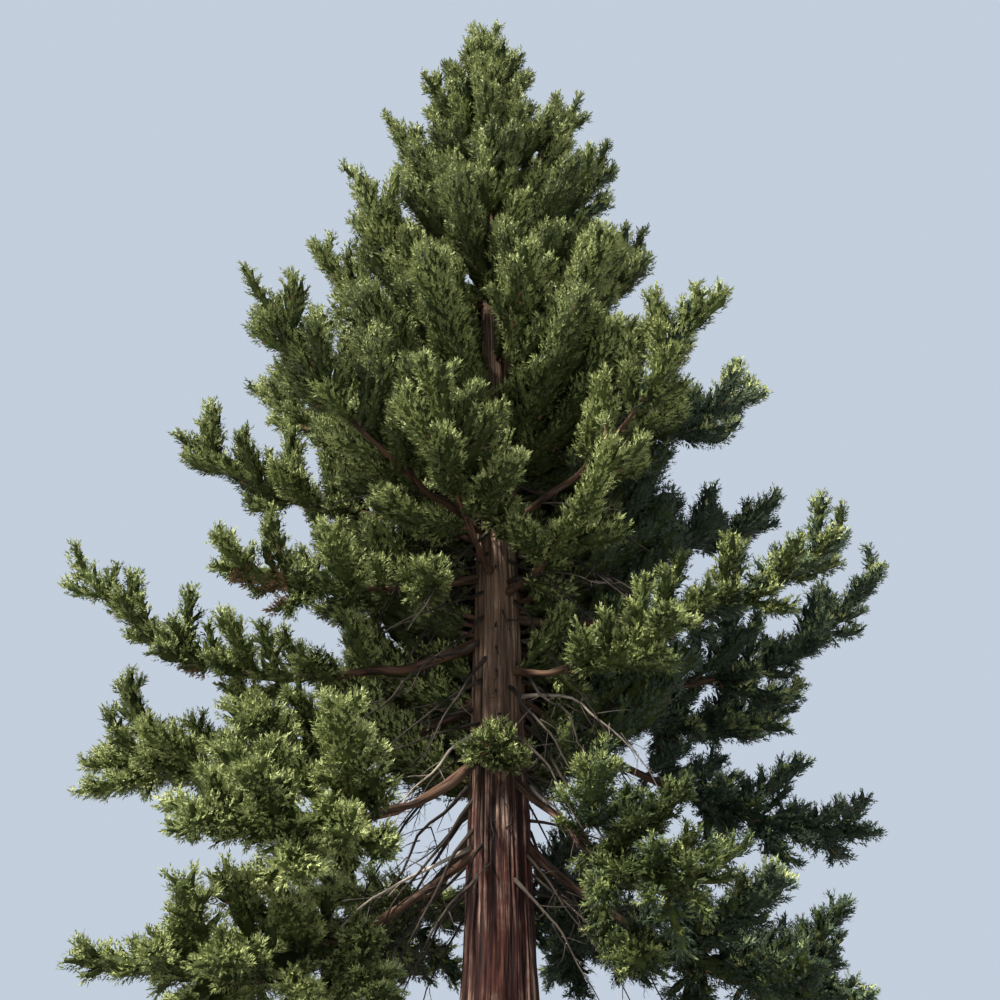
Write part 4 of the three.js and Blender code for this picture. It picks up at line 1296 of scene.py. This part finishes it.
def bark_material(name, fibre, stops, size, stretch, weathered_and_sunlit, weather_and_sun_share, bump, distance, painted_light_up=None):
    """Bark: colour from the ridge height, streaked by fibre. Where noise says so, the crests go pale:
    weathering, and on the trunk painted sunlight as well. A paler colour mixes in with height as painted
    light on the trunk that the crown shades: the last argument gives it, the two heights between which it
    grows, and its share."""
    material, tree, shader = new_material(name)
    ridge = node(tree, "ShaderNodeAttribute", attribute_name="ridge").outputs["Fac"]
    grain = node(tree, "ShaderNodeAttribute", attribute_name="grain").outputs["Vector"]
    place = node(tree, "ShaderNodeTexCoord").outputs["Object"]
    fibres = use_group(tree, fibre, {"Grain": grain, "Size": size, "Stretch": stretch}).outputs
    streak = worked_out(tree, "SUBTRACT", fibres["Height"], 0.72)
    tone = worked_out(tree, "MULTIPLY_ADD", streak, 1.1, ridge)
    base = ramp_of(tree, tone, stops)
    # Painted light: the trunk gets paler with height, where the crown shades it.
    if painted_light_up:
        colour, start, end, share = painted_light_up
        height = node(tree, "ShaderNodeSeparateXYZ", {0: place}).outputs["Z"]
        grown = ranged(tree, height, start, end, 0.0, share)
        base = mixed(tree, worked_out(tree, "MULTIPLY", grown, tone, clamped=True), base, colour)
    # Pale crests where noise says so: weathering, and on the trunk painted sunlit streaks as well.
    where = ranged(tree, noise_at(tree, place, 0.7, 4.0, 0.6), 0.45, 0.72, 0.0, weather_and_sun_share)
    pale = worked_out(tree, "MULTIPLY", where, ranged(tree, tone, 0.55, 1.0))
    tree.links.new(mixed(tree, pale, base, weathered_and_sunlit), shader.inputs["Base Color"])
    tree.links.new(ranged(tree, fibres["Streak"], 0.3, 0.7, 0.95, 0.8), shader.inputs["Roughness"])
    shader.inputs["Specular IOR Level"].default_value = 0.25
    lift = node(tree, "ShaderNodeBump", {"Strength": bump, "Distance": distance, "Height": fibres["Height"]})
    tree.links.new(lift.outputs[0], shader.inputs["Normal"])
    return material


def needle_material(name, needles, shade, lit, scale, relief, gloss):
    """One green of the needles: its shaded and lit tones, its grain's size and depth, and its gloss."""
    material, tree, shader = new_material(name)
    place = node(tree, "ShaderNodeTexCoord")
    group = use_group(tree, needles, {
        "Place": place.outputs["Object"], "Shade": (*shade, 1), "Lit": (*lit, 1), "Scale": scale})
    tree.links.new(group.outputs["Colour"], shader.inputs["Base Color"])
    tree.links.new(group.outputs["Roughness"], shader.inputs["Roughness"])
    shader.inputs["Specular IOR Level"].default_value = gloss
    lift = node(tree, "ShaderNodeBump", {
        "Strength": 0.7, "Distance": relief, "Height": group.outputs["Height"]})
    tree.links.new(lift.outputs[0], shader.inputs["Normal"])
    return material


rows = [dict(zip(FIELDS, row)) for row in BOUGHS + TOPS]
bough_nodes = [f"bough_{row['name']}" for row in rows if row["bare"] > 0]
foliage_nodes = [f"foliage_{row['name']}" for row in rows]

# The sprays that the solids have, then more between them and inside the crown, and their plumes.
arcs, spray_list = grow(rows)
arcs = np.array(arcs)
shown = np.array([row["name"] in SHOWN_BOUGHS for row in rows])
shown_shares = np.linspace(SHOWN_FROM, SHOWN_TO, SHOWN_POINTS)[None]
shown_lines = arc_point(arcs[shown][:, None], shown_shares).reshape(-1, 3)
rng = np.random.default_rng(SEED)
own = gather(spray_list, rows)
on_stem = bare_stems(own, arcs, shown)
kept = stands_free(own["arc"], 0, BESIDE_TRUNK, own["tuft"]) | on_stem
own = {key: values[kept] for key, values in own.items()}
arcs = shrink_low_tufts(own, arcs, rows)
fill = fill_plumes(rng)
groups = (own, more_sprays(rows, arcs, rng), fill)
sprays = {key: np.concatenate([group[key] for group in groups]) for key in SPRAY_KEYS}
sprays["length"] = arc_length(sprays["arc"], sprays["start"])
sprays["turn"] = rng.random(len(sprays["radius"]))
sprays["tone"] = rng.random(len(sprays["radius"]))
# The fill plumes' tones are lowered, as painted shade inside the crown.
sprays["tone"][-len(fill["radius"]):] *= FILL_SHADE_TONE
plume = plumes(sprays, rng)

# Fingers that lie deep in the foliage with their outer half are left out.
lowest, full, crowd = full_cells(plume)
deep_halfway = crowd[cell_of(arc_point(plume["arc"], OUTER), lowest, full)] > DEEP
deep_at_tip = crowd[cell_of(arc_point(plume["arc"], 1.0), lowest, full)] > DEEP
plume = {key: values[~(deep_halfway & deep_at_tip) | (plume["order"] == 0)] for key, values in plume.items()}

# Sprigs stand out of every plume's outline and lean towards its tip.
index, along, turn = spread_over(plume, SPRIG_TRIES, rng)
middle, heading, out, radius = plume_surface(plume, index, along, turn)
at = middle + out * (radius * (SPRIG_FOOT + SPRIG_FOOT_VARIES * rng.random(len(radius))))[:, None]
lean = np.radians(SPRIG_LEAN - SPRIG_RISES * along ** 3)[:, None]
loose = SPRIG_LOOSE * (rng.random(at.shape) - 0.5)
aim = unit(heading * np.cos(lean) + out * np.sin(lean) + SPRIG_LIFT * UP + loose)
cells = cell_of(at + SPRIG_LOOKS_OUT * aim, lowest, full)
seen = np.flatnonzero(clear_of_trunk(at, BARK_CLEAR) & ~full[cells] & (crowd[cells] < DEEP))
keep = np.sort(rng.permutation(seen)[:SPRIGS])
index, along, at, out, aim = index[keep], along[keep], at[keep], out[keep], aim[keep]
green = deal_greens(at, out, along, plume, index, rng)
grown = 1 + SPRIG_GROWS * at[:, 2] / TREE_HEIGHT
sprig_length = SPRIG_LENGTH * grown * (SPRIG_SHORTEST + SPRIG_VARIES * rng.random(len(at)))
sprigs = sprigs_of(at, aim, out, sprig_length, rng)

fibre = fibre_group()
needle_look = needle_group()
for name, tones in GREENS.items():
    material = needle_material(f"needles_{name}", needle_look, *tones, scale=38.0, relief=0.01, gloss=0.25)
    chosen = sprigs[green == name]
    parts = math.ceil(len(chosen) * SPRIG_CORDS / LARGEST_PIECE)
    for part, some in enumerate(np.array_split(chosen, parts)):
        corners = some.reshape(-1, 3)
        faces = np.arange(len(corners)).reshape(-1, 3)
        foliage_piece(f"needles_{name}_{part + 1}", corners, faces, material, False)

# Painted shade: inner masses towards the right and the back get the shade green.
cool_shade = arc_point(plume["arc"], OUTER) @ COOL_SHADE_SIDE + COOL_BY_PLUME * (plume["tone"] - 0.5) > COOL_OVER
inner_shade_green = np.where(cool_shade, "shade", np.where(plume["tone"] > INNER_MIDDLE_OVER, "middle", "deep"))
main_rings = np.maximum(FEWEST_RINGS, np.ceil(plume["length"] / MAIN_RING).astype(int))
finger_rings = np.full(len(main_rings), FINGER_RINGS)
# The inner masses are darker than the sprigs round them, as painted shade; which of their greens a plume gets
# varies with its tone.
for name, tones in INNER_SHADE_GREENS.items():
    material = needle_material(f"inner_{name}", needle_look, *tones, scale=9.0, relief=0.06, gloss=0.05)
    for kind, rings, sides in (("plumes", main_rings, MAIN_SIDES), ("fingers", finger_rings, FINGER_SIDES)):
        chosen = (inner_shade_green == name) & (plume["order"] == (kind == "fingers"))
        corners, faces = inner_masses(plume, chosen, rings, sides, rng)
        foliage_piece(f"inner_{kind}_{name}", corners, faces, material, True)

trunk_bark, bough_bark, twig_bark, dead_wood, pale_wood = [
    bark_material(name, fibre, **look) for name, look in BARKS.items()]

trunk = trunk_piece(trunk_bark)
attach(trunk, "root")
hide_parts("trunk")

thick = np.array([limb_radius(row) for row in rows])
boughs = limbs_piece("boughs", arcs, np.full(len(arcs), BOUGH_TO), thick, BOUGH_END * thick, bough_bark,
                     sides=14, rings=44, seed=21, collar=0.2, relief=0.24, wander=0.3)
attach(boughs, "root")
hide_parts(*bough_nodes)

stem_radius = STEM_RADIUS + STEM_SHARE * sprays["radius"]
wood_piece(limbs_piece("plume_stems", sprays["arc"], np.full(len(stem_radius), STEM_TO), stem_radius,
                       STEM_END * stem_radius, twig_bark,
                       sides=4, rings=6, seed=33, collar=0.3, relief=0.2, wander=0.12))
main = {key: values[plume["order"] == 0] for key, values in plume.items()}
index, along, turn = spread_over(main, TWIGS, rng)
middle, heading, out, radius = plume_surface(main, index, along, turn)
lean = np.radians(LIVE_TWIG_LEAN - LIVE_TWIG_RISES * along)[:, None]
tip = middle + (heading * np.cos(lean) + out * np.sin(lean)) * (LIVE_TWIG_REACH * radius)[:, None]
keep = clear_of_trunk(tip, BARK_CLEAR) & (crowd[cell_of(tip, lowest, full)] < DEEP)
corners, faces = spikes(middle[keep], tip[keep], (LIVE_TWIG_RADIUS + LIVE_TWIG_SHARE * radius)[keep])
wood_piece(mesh_piece("twigs", corners, faces, twig_bark, False))

dead = dead_limbs(rng)
pale = limbs_of(PALE_LIMBS, rng)
for name, limbs, material in (("dead_limbs", dead, dead_wood), ("pale_limbs", pale, pale_wood)):
    branched_wood(name, limbs, DEAD_RADIUS + DEAD_THICKENS * limbs["length"], material, rng)

floor_material, tree, shader = new_material("floor")
shader.inputs["Base Color"].default_value = (*FLOOR_COLOUR, 1)
shader.inputs["Roughness"].default_value = FLOOR_ROUGHNESS
floor_mesh = bpy.data.meshes.new("floor")
floor_corners = [(FLOOR_HALF * x, FLOOR_HALF * y, 0) for x, y in ((-1, -1), (1, -1), (1, 1), (-1, 1))]
floor_mesh.from_pydata(floor_corners, [], [(0, 1, 2, 3)])
floor_mesh.materials.append(floor_material)
floor = bpy.data.objects.new("floor", floor_mesh)
bpy.context.scene.collection.objects.link(floor)

world = bpy.data.worlds.new("studio")
world.use_nodes = True
backdrop = next(n for n in world.node_tree.nodes if n.type == "BACKGROUND")
backdrop.inputs["Color"].default_value = (*SKY_COLOUR, 1)
backdrop.inputs["Strength"].default_value = SKY_STRENGTH
bpy.context.scene.world = world

sun_light = bpy.data.lights.new("key", "SUN")
sun_light.energy = SUN_ENERGY
sun_light.angle = math.radians(SUN_WIDTH)
sun_light.color = SUN_COLOUR
sun = bpy.data.objects.new("key", sun_light)
sun.rotation_euler = Vector(SUN_FROM).to_track_quat("Z", "Y").to_euler()
sun.location = SUN_AT
bpy.context.scene.collection.objects.link(sun)

camera_data = bpy.data.cameras.new("camera")
camera_data.angle = math.radians(EYE_FIELD)
camera_data.clip_end = VIEW_TO
camera = bpy.data.objects.new("camera", camera_data)
camera.location = (0, -EYE_AWAY, EYE_HEIGHT)
camera.rotation_euler = (math.radians(90 + EYE_TILT), 0, 0)
bpy.context.scene.collection.objects.link(camera)
bpy.context.scene.camera = camera
bpy.context.scene.view_settings.view_transform = "Standard"
